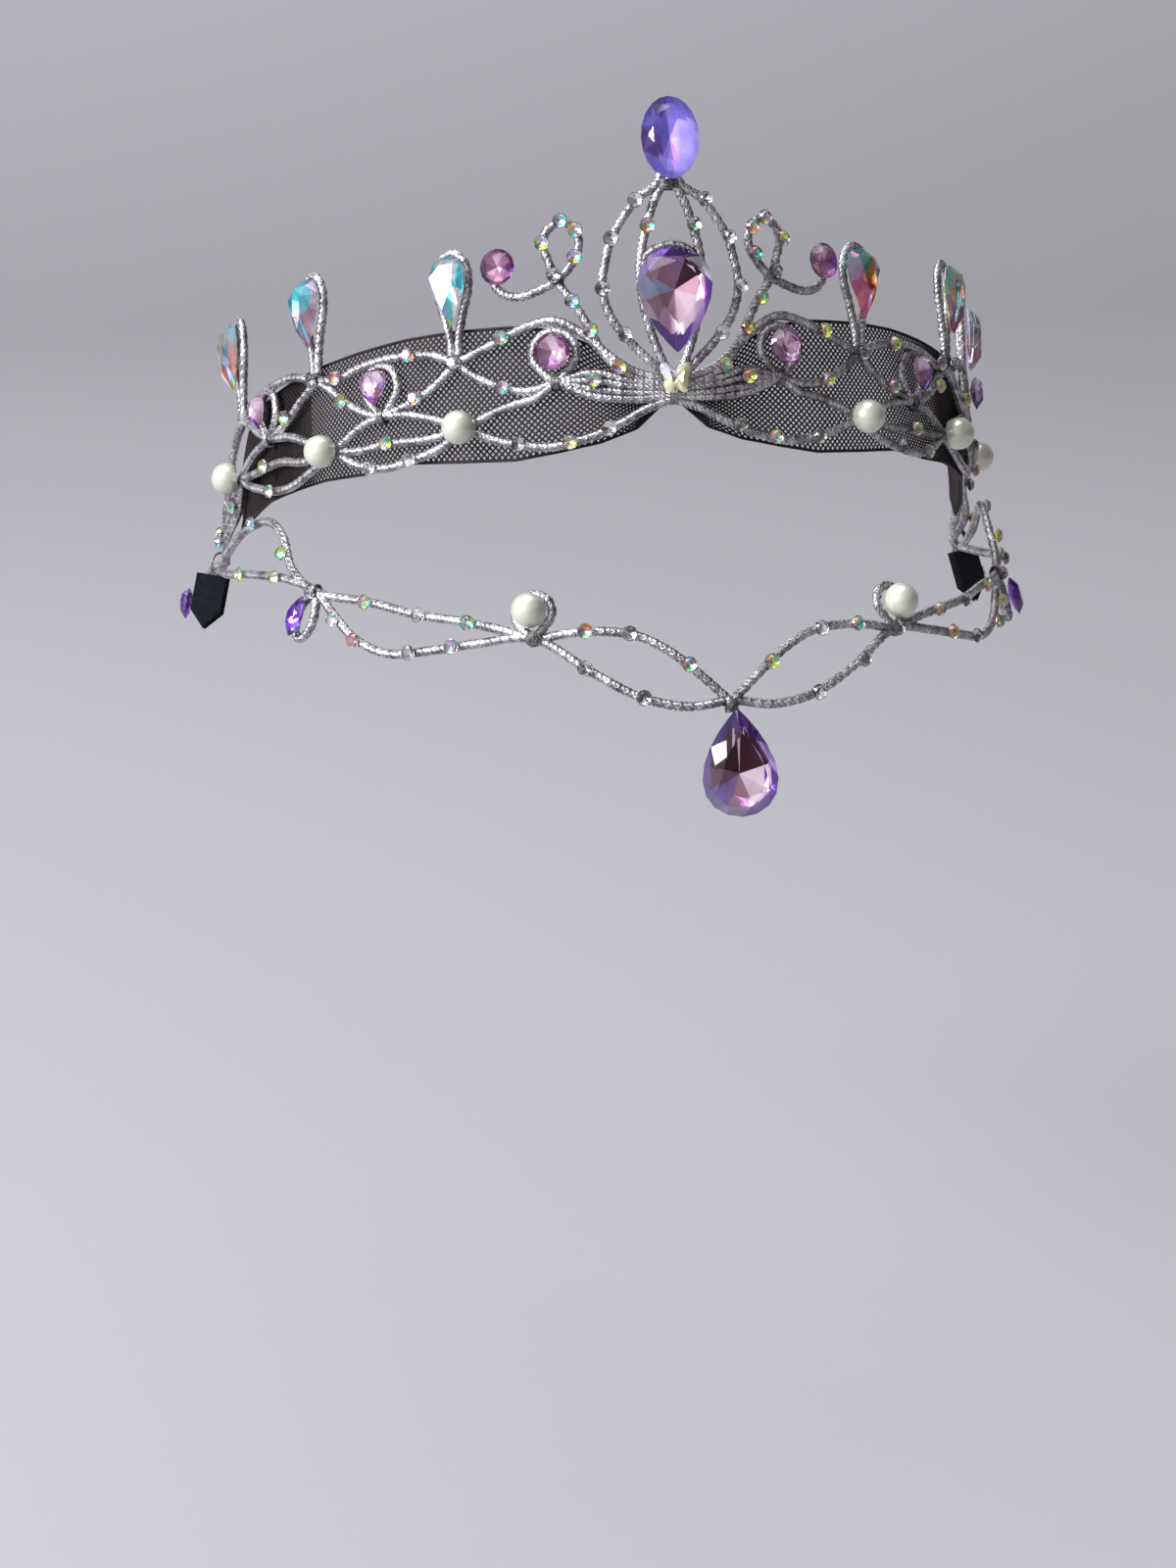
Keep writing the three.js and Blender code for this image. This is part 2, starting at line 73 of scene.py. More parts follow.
# The ring
SEAT_HALF_WIDTH = 71.2
SEAT_HALF_DEPTH = 91.8
WORN_TILT = math.radians(20)
WIDEN_FROM = -6
WIDEN_DEPTH = 54
WIDEN_SIDE = 7.5
WIDEN_FRONT = 14
CORD_OUT = 1.55
STRAND_OUT = 2.2
STONE_LIFT = 1.1
MOTIF_OUT = 3.65
MOTIF_FOOT = 5
MOTIF_LEAN = 0.1
STRAND_TURN = 3.4
STRAND_REACH = 94
STRAND_SLACK = {"left": 0.985, "right": 1.04}

# The net band: angle from the front, height of its top edge and of its bottom edge.
NET = [
    (1.2, 4.6, 2.0), (5, 7.5, -2.2), (10, 12, -4.3), (16, 15.6, -5.5), (22, 16.8, -6.3),
    (30, 17.2, -5.6), (38, 17.2, -4.6), (46, 16.6, -5.2), (54, 15.8, -4.8), (62, 14.6, -5.2),
    (70, 13, -5.6), (78, 9.5, -7.5), (85, 2.5, -9.5),
]
NET_GATHERED = 57  # from this angle on it lies double

# Where cords are lashed together on the band: angle from the front and height.
JOINTS = {
    "lobe": (15.6, 6.3),
    "scroll": (14.9, 23.6),
    "tear1": (29.4, 11.4),
    "pear1": (41.2, 4.2),
    "tear2": (53.4, 13),
    "pear2": (66.2, 5.4),
    "tear3": (76.5, 11.2),
    "pearl1": (28.3, -0.2),
    "pearl2": (50.6, -0.4),
    "pearl3": (79, 0.8),
    "end": (93.5, -13),
}
J = JOINTS

# Cords of one side of the band: runs of points between two joints. A point is an angle,
# a height and, where it leaves the band, its distance out.
BAND_CORDS = {
    "arch": [(0.5, 5.4), (5.5, 7.6), (8.6, 10.6), (11.6, 14.2), (15.4, 16.9), (19, 16.4), (22.6, 14.6),
             J["tear1"]],
    "stem": [(0.5, 4.8), (5, 6.2), (7.6, 8.6), (9.6, 12), (10.9, 15.4), (12.4, 19), J["scroll"]],
    "loop": [J["scroll"], (15.9, 27.4), (16.5, 30.4), (15.8, 32.7), (14.2, 33.8), (12.7, 33.2),
             (11.7, 31), (11.9, 28.4), (13.2, 25.7), J["scroll"]],
    "curl": [J["scroll"], (17.2, 22.4), (19.9, 21.6), (22.2, 22.4), (23.4, 24.6), (22.3, 26.9)],
    "lobe_high": [(0.5, 4.5), (5.6, 5.7), (10.8, 7.4), J["lobe"]],
    "lobe_next": [(0.5, 4), (5.6, 4.8), (10.8, 6.1), J["lobe"]],
    "lobe_low": [(0.5, 3.3), (5.5, 3.6), (10.6, 4.6), J["lobe"]],
    "lobe_foot": [(0.5, 2.8), (5.5, 2.6), (10.6, 3.5), J["lobe"]],
    "lobe_tear": [J["lobe"], (19, 5.2), (22.6, 6.1), (26.8, 8.8), J["tear1"]],
    "lobe_pearl": [J["lobe"], (18.2, 4), (21.8, 3), (25.3, 1.6), J["pearl1"]],
    "hem1": [(0.5, 2.2), (3.4, 1), (6.2, -0.8), (9.1, -2.5), (12.6, -3.9), (16.6, -4.7), (21, -3.9),
             (25.2, -2.2), J["pearl1"]],
    "high2": [J["tear1"], (32.6, 13.3), (36, 13.9), (40.5, 14.1), (45, 13.5), (48.8, 12.4), J["tear2"]],
    "dip2": [J["tear1"], (32.4, 8.2), (35.5, 6.1), (38.6, 4.9), J["pear1"]],
    "rise2": [J["pear1"], (44.4, 5.4), (47.8, 8.1), (50.8, 11.1), J["tear2"]],
    "pearl_in2": [J["pearl1"], (32.2, 1.9), (37, 3.7), J["pear1"]],
    "pearl_out2": [J["pear1"], (44.6, 3.3), (47.6, 1.5), J["pearl2"]],
    "middle2": [J["pearl1"], (34.4, -1.1), (40.2, -0.8), (45, -1.1), J["pearl2"]],
    "hem2": [J["pearl1"], (32.4, -3), (36.8, -4.4), (41, -5), (45.4, -3.9), J["pearl2"]],
    "high3": [J["tear2"], (58, 14.9), (63.5, 15), (70, 13.4), J["tear3"]],
    "dip3": [J["tear2"], (57, 10.4), (60.2, 7.8), (63.2, 6.2), J["pear2"]],
    "rise3": [J["pear2"], (69.6, 7.2), (73, 9.6), J["tear3"]],
    "pearl_in3": [J["pearl2"], (55.4, 2.2), (60.2, 4.4), J["pear2"]],
    "pearl_out3": [J["pear2"], (70, 4.4), (74, 3), J["pearl3"]],
    "middle3": [J["pearl2"], (57, -0.8), (63, 0.4), (69.6, 0.2), (74.6, 0.2), J["pearl3"]],
    "hem3": [J["pearl2"], (55.6, -3), (60, -4.6), (65, -4.6), (70, -3.2), (75, -1.4), J["pearl3"]],
    "end_high": [J["tear3"], (82, 8.4), (86.4, 2.4, 2.4), (90, -4.6, 3), J["end"]],
    "end_middle": [J["pearl3"], (84, -1.8), (88.6, -6.4, 2.6), J["end"]],
    "end_low": [J["pearl3"], (82, -4.6), (86.6, -9.4, 2.4), J["end"]],
    "end_curl": [J["end"], (97.4, -13.4, 4.4), (100.6, -15.6, 6), (101, -19, 6.6), (99, -21.6, 6.2)],
}

# Half outlines of the centre motif.
MOTIF_CORDS = {
    "outer": [(0.7, 5.4), (2.9, 8.4), (5.4, 11.8), (7.7, 16), (8.7, 21), (8.2, 25.4), (7.3, 29.4),
              (5.7, 33), (3.7, 36.2), (1.7, 38), (0.7, 40.6)],
    "inner": [(0.5, 6.2), (1.6, 9), (2.9, 14), (3.7, 19), (3.9, 23.4), (3.6, 27.5), (2.9, 31.2),
              (2, 35), (0.9, 38)],
}
MOTIF_ARCH = [(-3.7, 23.4), (-3.1, 26.4), (0, 28.2), (3.1, 26.4), (3.7, 23.4)]
MOTIF_STEM = [(0, 37.5), (0, 42), (0, 47)]
PEAR_HEIGHT = 18.2
OVAL_HEIGHT = 45.4

# The strand, as angles from its drop and heights, in two cords that cross at joints.
STRAND_JOINTS = {
    "knot": (0.25, -50.4), "pearl": (23, -38.4), "navette": (54.2, -25.8), "end": (91.6, -14.9),
}
S = STRAND_JOINTS
STRAND_CORDS = {
    "high": [S["knot"], (3.8, -45.6), (7.2, -41.6), (11, -38.8), (15.4, -37.8), (19.4, -37.9),
             S["pearl"], (27, -36.4), (32, -34.4), (38, -32.4), (45, -29.2), S["navette"],
             (59.6, -20.6), (62.4, -14.6), (66.8, -10.6), (75, -10.4), (83.4, -12.9), S["end"]],
    "low": [S["knot"], (5.2, -51.2), (10.6, -49.4), (16.4, -44.6), S["pearl"], (29.6, -38.4),
            (36, -38.9), (42, -38.7), (47, -35.4), (50.4, -31), S["navette"], (60, -22.6), (69, -20),
            (80, -17.8), S["end"]],
}
DROP_HEIGHT = -61

# Half of a hairpin above its foot, to the side and up from the teardrop's middle.
HAIRPIN = [(0.85, -8.2), (1.8, -4), (3.2, 0.8), (3, 4.4), (1.6, 6.4)]
HAIRPIN_TOP = 7

# What a mesh of cord is made of, in the order of its materials; the last is a darker copy of
# the silver braid, painted shade on the strands that go round the other way.
CORD_FINISHES = ("braid", "core", "lashing", "shaded_braid")
BRAID, CORE, LASHING, SHADED_BRAID = range(4)

# Thread wound round joints: half its width, half its depth and its turns.
WRAPS = {
    "hairpin": (1.5, 1.05, 5), "circle": (1.5, 1.05, 6), "scroll": (1.3, 1.05, 5), "end": (2.2, 1.5, 9),
    "motif_top": (1.9, 1.3, 7), "motif_foot": (2, 1.3, 7), "strand": (1.3, 1.05, 5), "knot": (1.1, 1, 9),
}
WRAP_STEPS = 14
WRAP_THREAD = 0.13
WRAP_SPACING = 0.24
# Heights of the single windings.
MOTIF_TOP_WRAP = 38.2
MOTIF_FOOT_WRAP = 3.4
KNOT_WRAP = -51.3
END_WRAP_OUT = 2.9

# How far the middle of a teardrop, of another band stone and of a strand's pearl is above
# its joint, and how far out the small crystals are set.
TEAR_LIFT = 12.2
STONE_RISE = 5
PEARL_RISE = 4.4
CHATON_LIFT = 0.75
PEARL_RADIUS = 3
PEARL_CUT = 1.5  # how far a pearl's flat back is from its middle
LOOP_RADIUS = 3.9
PEARL_LOOP_RADIUS = 3.3
NAVETTE_LOOP_RADIUS = 2.7
# How far a navette hangs beyond and below its joint, its turn, and its loop's foot.
NAVETTE = {"angle": 1.6, "drop": 4.4, "turn": 32, "loop": 5.2}
# Angle, height and distance out of the stones that no joint carries.
SCROLL_STONE = (22.2, 26.7)
END_STONE = (99.6, -20, 6.5)
TAB = {
    "angle": 94.8, "top": -15, "out": 3.8, "turned": 70, "width": 6.8, "straight": 7.5, "point": 3.5,
    "thick": 1.8,
}
TAB_EDGE = 0.94  # how far a layer's faces draw in from its edge
# The woven layers of a tab: share of its outline, height of its underside and thickness.
TAB_LAYERS = [(1, 0, 0.42), (0.97, 0.46, 0.42), (1, 0.92, 0.42), (0.96, 1.36, 0.4)]

# Cut stones: width, height, thickness, number of kite facets, the table's share of the
# outline, how far the outline draws in to its point, and whether the back is flat.
STONE_SIZES = ("width", "height", "thick", "kites", "table", "taper", "flat")
STONES = {
    "drop": (13, 18, 5.4, 10, 0.6, 0.9, False),
    "oval": (10, 14, 4.4, 10, 0.66, 0, False),
    "round": (6.3, 6.3, 2.8, 8, 0.56, 0, False),
    "teardrop": (7.6, 13, 3, 6, 0.6, 1.7, True),
    "pear": (6.4, 6.2, 2.6, 8, 0.56, 0.7, False),
    "navette": (4.6, 7.6, 2.4, 8, 0.52, 0, False),
    "chaton": (2.7, 2.7, 1.6, 6, 0.6, 0, False),
}
STONES = {kind: dict(zip(STONE_SIZES, sizes)) for kind, sizes in STONES.items()}
KEEL = (0.34, 0.74)  # the oval's facets meet in a long ridge behind

# Colours of the facets behind the stones, also used for the butterfly's wings: the stones' own
# violet, opal and coating colours, with painted reflections in the pale facets and painted shade
# in the dark facets of the stones.
FACET_COLOUR_AND_LIGHT = {
    "rim": (0.13, 0.025, 0.34), "violet": (0.3, 0.1, 0.66), "lilac": (0.62, 0.46, 0.9),
    "pink": (0.88, 0.56, 0.62), "blush": (1, 0.84, 0.84), "dusty": (0.5, 0.27, 0.31),
    "mauve": (0.34, 0.18, 0.3), "maroon": (0.06, 0.008, 0.02), "plum": (0.3, 0.06, 0.25),
    "ice": (0.62, 0.8, 1), "periwinkle": (0.27, 0.22, 0.85), "iris": (0.48, 0.38, 0.98),
    "orchid": (0.75, 0.35, 0.95), "grape": (0.22, 0.11, 0.45), "cyan": (0.1, 0.68, 0.8),
    "teal": (0.08, 0.5, 0.42), "green": (0.22, 0.72, 0.36), "yellow": (0.84, 0.8, 0.14),
    "orange": (0.9, 0.34, 0.12), "red": (0.72, 0.1, 0.05), "rose": (0.62, 0.32, 0.38),
    "candy": (0.92, 0.6, 0.74), "lavender": (0.55, 0.5, 0.85), "silver": (0.72, 0.72, 0.76),
    "white": (0.96, 0.95, 0.92), "smoke": (0.16, 0.15, 0.15), "berry": (0.33, 0.1, 0.28),
    "heather": (0.52, 0.3, 0.52), "cream": (1, 0.95, 0.62), "frost": (0.85, 0.84, 0.98),
}

# Colours of the facets behind each stone, from its foot anticlockwise: the wide ones round the
# middle, then the narrow ones along the edge. Their light and dark facets are painted reflections
# and painted shade, given stone by stone, so the teardrops differ from left to right.
BACKS = {
    "centre_drop": ("blush blush blush pink maroon mauve dusty ice dusty pink",
                    "rim violet lilac violet white rim lilac ice white rim"),
    "forehead_drop": ("blush maroon maroon dusty lilac pink blush blush maroon maroon",
                      "rim rim violet lilac ice white lilac violet lilac rim"),
    "top_oval": ("iris orchid iris iris periwinkle iris periwinkle periwinkle periwinkle iris",
                 "periwinkle iris iris iris periwinkle periwinkle grape periwinkle grape periwinkle"),
    "lobe_crystal": ("heather blush blush candy blush pink dusty heather",
                     "berry heather berry plum heather berry plum berry"),
    "scroll_crystal": ("dusty heather berry dusty candy dusty berry pink",
                       "berry plum rim berry plum heather berry plum"),
    "band_pear": ("dusty dusty lilac blush blush blush blush candy",
                  "plum rim violet berry plum heather candy rim"),
    "strand_navette": ("ice violet rim violet lilac violet rim violet",
                       "rim rim violet rim violet rim rim violet"),
    "end_crystal": ("violet lilac violet rim violet lilac violet rim",
                    "rim violet rim rim violet rim rim violet"),
    "teardrop_left_1": ("cyan blush cyan silver cyan cyan",
                        "yellow teal silver silver lavender lavender"),
    "teardrop_left_2": ("rose rose candy cyan cyan rose", "rose candy candy silver cyan cyan"),
    "teardrop_left_3": ("candy orange orange cyan orange orange",
                        "yellow orange silver cyan cyan lavender"),
    "teardrop_right_1": ("red red orange teal teal red", "orange red lavender cyan teal silver"),
    "teardrop_right_2": ("orange smoke orange teal green smoke", "red smoke cyan teal smoke yellow"),
    "teardrop_right_3": ("lavender rose silver silver lavender candy",
                         "lavender candy silver cyan silver candy"),
}
# Colours drawn for the facets behind the small crystals: coating colours, with painted reflections in the
# white and silver facets and painted shade in the smoke ones. The first set, used on the right, is
# painted shade on the side away from the light.
SPARKLES = {
    "dusk": "yellow yellow green teal orange rose smoke silver silver",
    "aurora": "silver smoke cyan green yellow orange candy rose lavender teal",
    "lemon": "yellow yellow yellow green smoke",
    "clear": "silver smoke smoke white smoke silver",
}
CROWNS = {
    "amethyst": (0.93, 0.82, 1), "opal": (0.86, 0.84, 1), "aurora": (0.94, 1, 1), "clear": (1, 1, 1),
}

BUTTERFLY_HEIGHT = 5.4
BUTTERFLY_OUT = 4.25

# The butterfly's right wings, from the notch below to the notch above, and the colours of
# its wings: upper right, upper left, lower right, lower left.
WINGS = [
    (0, -1.75), (1.2, -2.6), (2, -2.1), (2.2, -0.9), (2.15, 0.1), (2.85, 1.8), (2.4, 2.6), (1.2, 2.3),
    (0, 0.9),
]
BUTTERFLY_WINGS = ("cream", "frost", "cream", "cream")
# Its shape from back to front: share of the outline and height.
BUTTERFLY_RINGS = ((0.86, 0), (1, 0.45), (0.82, 1.3), (0.45, 1.6), (0.12, 1.2))
BUTTERFLY_BODY = 1.15

# Small crystals: angle, height, kind and, where it leaves the band, its distance out.
BAND_CHATONS = [
    (7.1, 8.2, "aurora"), (10.9, 14.4, "aurora"), (12.8, 20, "aurora"), (14.9, 24.6, "clear"),
    (16.5, 30.2, "aurora"), (14, 33.8, "aurora"), (11.9, 32, "aurora"), (12.2, 27.5, "aurora"),
    (22.6, 14.6, "aurora"), (22.6, 6.1, "aurora"), (10.6, 5.4, "aurora"), (20.8, -3.95, "clear"),
    (14, -4.3, "aurora"), (8.8, -2.4, "clear"), (36, 13.9, "aurora"), (48.6, 12.5, "aurora"),
    (35.4, 6.2, "aurora"), (47.8, 8.1, "aurora"), (40.3, -0.8, "aurora"), (36.7, -4.35, "clear"),
    (43.1, -4.6, "clear"), (60, 8, "lemon"), (66.4, 0.3, "aurora"), (65, -4.6, "aurora"),
    (81.4, -4.6, "aurora"), (84.4, -2.3, "aurora"), (89.6, -7.8, "aurora", 2.8),
    (87, -11.2, "aurora", 2.4), (86.6, 2, "aurora", 2.5), (29.4, 11.4, "clear"), (53.4, 13, "clear"),
]
MOTIF_CHATONS = [
    (6.1, 13, "clear"), (8.7, 21, "clear"), (7.4, 29.2, "clear"), (4.3, 35.4, "clear"),
    (2.9, 31.2, "aurora"),
]
STRAND_CHATONS = [
    (4.9, -44.2, "aurora"), (11.6, -38.5, "clear"), (16.8, -37.8, "aurora"), (23, -38.6, "clear"),
    (10.4, -49.5, "clear"), (17, -43.9, "clear"), (31, -34.8, "aurora"), (37.4, -32.6, "clear"),
    (45, -29.2, "aurora"), (33, -38.8, "aurora"), (38.6, -38.9, "clear"), (46.6, -35.8, "aurora"),
    (50, -31.6, "aurora"), (54.2, -25.9, "clear"), (61, -17.6, "lemon"), (62, -22.1, "aurora"),
    (72, -19.4, "aurora"), (70.8, -9.8, "aurora"),
]

# The camera stands a little left of the front and looks down on the ring.
CAMERA_PLACE = (-0.09279, -0.60657, 0.13818)
CAMERA_FORWARD = (0.1414, 0.9394, -0.3124)
CAMERA_UP = (0.0434, 0.3094, 0.9499)
PICTURE_LONG_SIDE = 1600
FOCAL_PIXELS = 3177.1
SENSOR = 36

# The curve between floor and wall, in metres, and the room's light from left to right.
BEND_START = 1.2
BEND = 0.8
WALL_HEIGHT = 4
ROOM = [
    (0, (1, 1, 1.03)), (0.4, (0.55, 0.55, 0.58)), (0.62, (0.17, 0.15, 0.14)), (1, (0.06, 0.045, 0.04)),
]


class TiaraCord(bpy.types.PropertyGroup):
    radius: bpy.props.FloatProperty(
        name="Radius", description="Outside radius of a cord", default=0.84 * MM, unit="LENGTH")
    pitch: bpy.props.FloatProperty(
        name="Pitch", description="Length in which a braided strand goes once round",
        default=7.2 * MM, unit="LENGTH")
    strands: bpy.props.IntProperty(
        name="Strands", description="Strands that go round each way", default=8, min=4)
    steps: bpy.props.IntProperty(
        name="Steps", description="Steps of the mesh in each turn of a strand", default=16, min=8)
    silver: bpy.props.FloatVectorProperty(
        name="Silver", description="Colour of the metallic thread", subtype="COLOR",
        default=(0.97, 0.96, 0.98))
    tarnish: bpy.props.FloatVectorProperty(
        name="Tarnish", description="Colour of the duller thread", subtype="COLOR",
        default=(0.36, 0.33, 0.36))


class TiaraNet(bpy.types.PropertyGroup):
    cell: bpy.props.FloatProperty(
        name="Cell", description="Width of a diamond of the net", default=1.15 * MM, unit="LENGTH")
    rows: bpy.props.IntProperty(
        name="Rows", description="Diamonds from the bottom edge to the top edge", default=20, min=4)
    thread: bpy.props.FloatProperty(
        name="Thread", description="Radius of the net's thread", default=0.165 * MM, unit="LENGTH")
    colour: bpy.props.FloatVectorProperty(
        name="Colour", description="Colour of the net's thread", subtype="COLOR",
        default=(0.01, 0.006, 0.006))


class TiaraStones(bpy.types.PropertyGroup):
    hue: bpy.props.FloatProperty(
        name="Hue", description="Turns the colours of all facets; 0.5 leaves them",
        default=0.5, min=0, max=1, subtype="FACTOR")
    saturation: bpy.props.FloatProperty(
        name="Saturation", description="Strength of the facets' colours",
        default=1, min=0, max=2, subtype="FACTOR")
    pearl: bpy.props.FloatVectorProperty(
        name="Pearl", description="Colour of the pearls", subtype="COLOR", default=(0.62, 0.62, 0.52))


class TiaraStage(bpy.types.PropertyGroup):
    drop: bpy.props.FloatProperty(
        name="Drop", description="Height of the tiara above the floor", default=0.15, unit="LENGTH")
    wall: bpy.props.FloatVectorProperty(
        name="Wall", description="Colour of the floor and the wall", subtype="COLOR",
        default=(0.58, 0.57, 0.61))
    window: bpy.props.FloatProperty(
        name="Window", description="Power of the light from the left", default=48, min=0)


def unit(v):
    return v / np.maximum(np.linalg.norm(v, axis=-1, keepdims=True), 1e-12)


def wall_point(angle, height, out=CORD_OUT):
    """Points on the wall of the ring, in millimetres. Angle, height and out may be arrays."""
    angle, height, out = np.broadcast_arrays(*(np.asarray(x, float) for x in (angle, height, out)))
    below = np.clip((WIDEN_FROM - height) / WIDEN_DEPTH, 0, 1)
    widening = below * (2 - below)
    turn = np.radians(angle)
    half_width = SEAT_HALF_WIDTH + WIDEN_SIDE * widening
    half_depth = SEAT_HALF_DEPTH + np.where(np.cos(turn) > 0, WIDEN_FRONT * widening, 0)
    flat = np.zeros_like(turn)
    normal = unit(np.stack([np.sin(turn) / half_width, -np.cos(turn) / half_depth, flat], -1))
    foot = np.stack([half_width * np.sin(turn), -half_depth * np.cos(turn), height], -1)
    return foot + normal * out[..., None]


def matrix_of(across, up, outward, turn, place):
    """A 4 by 4 matrix at a place, with x and y turned about z."""
    made = np.eye(4)
    made[:3, 0] = across * math.cos(turn) + up * math.sin(turn)
    made[:3, 1] = up * math.cos(turn) - across * math.sin(turn)
    made[:3, 2] = outward
    made[:3, 3] = place
    return made


def wall_frame(angle, height, out, spin=0):
    """A matrix with x along the wall, y up it and z straight out."""
    up = unit(wall_point(angle, height + 1, out) - wall_point(angle, height - 1, out))
    along = unit(wall_point(angle + 1, height, out) - wall_point(angle - 1, height, out))
    outward = unit(np.cross(along, up))
    across = np.cross(up, outward)
    return matrix_of(across, up, outward, math.radians(spin), wall_point(angle, height, out))


def placed(points, matrix):
    return np.asarray(points, float) @ matrix[:3, :3].T + matrix[:3, 3]


def worn(points):
    """From the level ring in millimetres to the tipped ring in metres."""
    x, y, z = np.asarray(points, float).T
    c, s = math.cos(WORN_TILT), math.sin(WORN_TILT)
    return np.stack([x, y * c + z * s, z * c - y * s], -1) * MM


def smooth(points, step):
    """Points at even steps along a smooth curve through the given ones."""
    p = np.asarray(points, float)
    p = np.vstack([2 * p[0] - p[1], p, 2 * p[-1] - p[-2]])
    fine = []
    for a, b, c, d in zip(p, p[1:], p[2:], p[3:]):
        t1 = np.linalg.norm(b - a) ** 0.5
        t2 = t1 + np.linalg.norm(c - b) ** 0.5
        t3 = t2 + np.linalg.norm(d - c) ** 0.5
        t = np.linspace(t1, t2, 24, endpoint=False)[:, None]
        a1 = (t1 - t) / t1 * a + t / t1 * b
        a2 = (t2 - t) / (t2 - t1) * b + (t - t1) / (t2 - t1) * c
        a3 = (t3 - t) / (t3 - t2) * c + (t - t2) / (t3 - t2) * d
        b1 = (t2 - t) / t2 * a1 + t / t2 * a2
        b2 = (t3 - t) / (t3 - t1) * a2 + (t - t1) / (t3 - t1) * a3
        fine.append((t2 - t) / (t2 - t1) * b1 + (t - t1) / (t2 - t1) * b2)
    fine = np.vstack([*fine, p[-2]])
    far = np.concatenate([[0], np.cumsum(np.linalg.norm(np.diff(fine, axis=0), axis=1))])
    at = np.linspace(0, far[-1], max(2, round(far[-1] / step)) + 1)
    return np.stack([np.interp(at, far, fine[:, i]) for i in range(3)], -1)


def outward_of(points):
    """Straight out from the ring's middle, which is how a cord's turns are counted."""
    flat = points * (1, 1, 0)
    return unit(flat / (SEAT_HALF_WIDTH, SEAT_HALF_DEPTH, 1))


def cross_frames(path):
    """Two directions square to a path: out from the ring and across it."""
    tangent = unit(np.gradient(path, axis=0))
    out = outward_of(path)
    out = unit(out - (out * tangent).sum(1, keepdims=True) * tangent)
    return out, np.cross(tangent, out)


def add_object(name, data):
    made = bpy.data.objects.new(name, data)
    bpy.context.scene.collection.objects.link(made)
    return made


def ring_faces(rings, around):
    """Four-sided faces between rings of points that follow one another."""
    row = np.arange(rings - 1)[:, None] * around
    here = np.arange(around)[None, :]
    after = (here + 1) % around
    faces = [row + here, row + after, row + around + after, row + around + here]
    return np.stack(faces, -1).reshape(-1, 4)


class Shell:
    """Gathers points and faces, each face with a finish and the colour of its facet."""

    def __init__(self):
        self.points = []
        self.quads = []
        self.triangles = []
        self.count = 0

    def add(self, points, faces, material=0, tone=None):
        points = np.asarray(points, float).reshape(-1, 3)
        faces = np.asarray(faces, int)
        tone = np.zeros((len(faces), 3)) if tone is None else np.broadcast_to(tone, (len(faces), 3))
        into = self.quads if faces.shape[1] == 4 else self.triangles
        into.append((faces + self.count, np.broadcast_to(material, len(faces)), tone))
        self.points.append(points)
        self.count += len(points)

    def tube(self, path, radius, sides=6, material=0):
        """A tube along a path, closed at both ends."""
        out, across = cross_frames(path)
        turn = np.arange(sides) * 2 * math.pi / sides
        ring = np.cos(turn)[None, :, None] * out[:, None] + np.sin(turn)[None, :, None] * across[:, None]
        points = path[:, None] + ring * radius
        start = self.count
        self.add(points, ring_faces(len(path), sides), material)
        for end, order in ((0, -1), ((len(path) - 1) * sides, 1)):
            fan = [(end, end + i, end + i + 1)[::order] for i in range(1, sides - 1)]
            self.close(fan, start, material)

    def close(self, triangles, start, material=0, tone=(0, 0, 0)):
        """More triangles on points that are in already, counted from start."""
        count = len(triangles)
        self.triangles.append(
            (np.array(triangles) + start, np.full(count, material), np.broadcast_to(tone, (count, 3))))

    def mesh(self, name, materials, rounded=True):
        """The gathered shell as an object that rides on the model."""
        data = bpy.data.meshes.new(name)
        groups = self.quads + self.triangles
        sizes = np.concatenate([np.full(len(f), f.shape[1]) for f, _, _ in groups])
        loops = np.concatenate([f.ravel() for f, _, _ in groups])
        points = worn(np.concatenate(self.points))
        data.vertices.add(len(points))
        data.vertices.foreach_set("co", points.ravel().astype(np.float32))
        data.loops.add(len(loops))
        data.loops.foreach_set("vertex_index", loops.astype(np.int32))
        data.polygons.add(len(sizes))
        starts = np.concatenate([[0], np.cumsum(sizes)[:-1]])
        data.polygons.foreach_set("loop_start", starts.astype(np.int32))
        finishes = np.concatenate([m for _, m, _ in groups])
        data.polygons.foreach_set("material_index", finishes.astype(np.int32))
        data.polygons.foreach_set("use_smooth", np.full(len(sizes), rounded))
        data.update(calc_edges=True)
        tone = np.concatenate([t for _, _, t in groups])
        if tone.any():
            layer = data.color_attributes.new("facet", "FLOAT_COLOR", "CORNER")
            rows = np.hstack([tone, np.ones((len(tone), 1))])
            layer.data.foreach_set("color", np.repeat(rows, sizes, axis=0).ravel().astype(np.float32))
        for material in materials:
            data.materials.append(material)
        data.validate()
        made = add_object(name, data)
        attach(made, "root")
        return made

    def stand_in(self, name, node, slot, *finishes, rounded=True):
        """The shell as the mesh that stands for a node of the model."""
        made = self.mesh(name, [MATERIALS[finish] for finish in finishes], rounded)
        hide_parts(node)
        return made


# Materials

def shader(name):
    """A new material and its Principled shader."""
    material = bpy.data.materials.new(name)
    material.use_nodes = True
    nodes = material.node_tree.nodes
    return material, nodes, material.node_tree.links, nodes["Principled BSDF"]


def wire(links, *ends):
    """Joins sockets, each pair given as a node, its output, the next node and its input."""
    for source, output, target, into in ends:
        links.new(source.outputs[output], target.inputs[into])


def add_node(nodes, kind, **values):
    made = nodes.new(kind)
    for name, value in values.items():
        setattr(made, name, value)
    return made


def ramp(nodes, stops):
    made = nodes.new("ShaderNodeValToRGB")
    elements = made.color_ramp.elements
    while len(elements) < len(stops):
        elements.new(1)
    for element, (place, colour) in zip(elements, stops):
        element.position = place
        element.color = (*colour, 1)
    return made


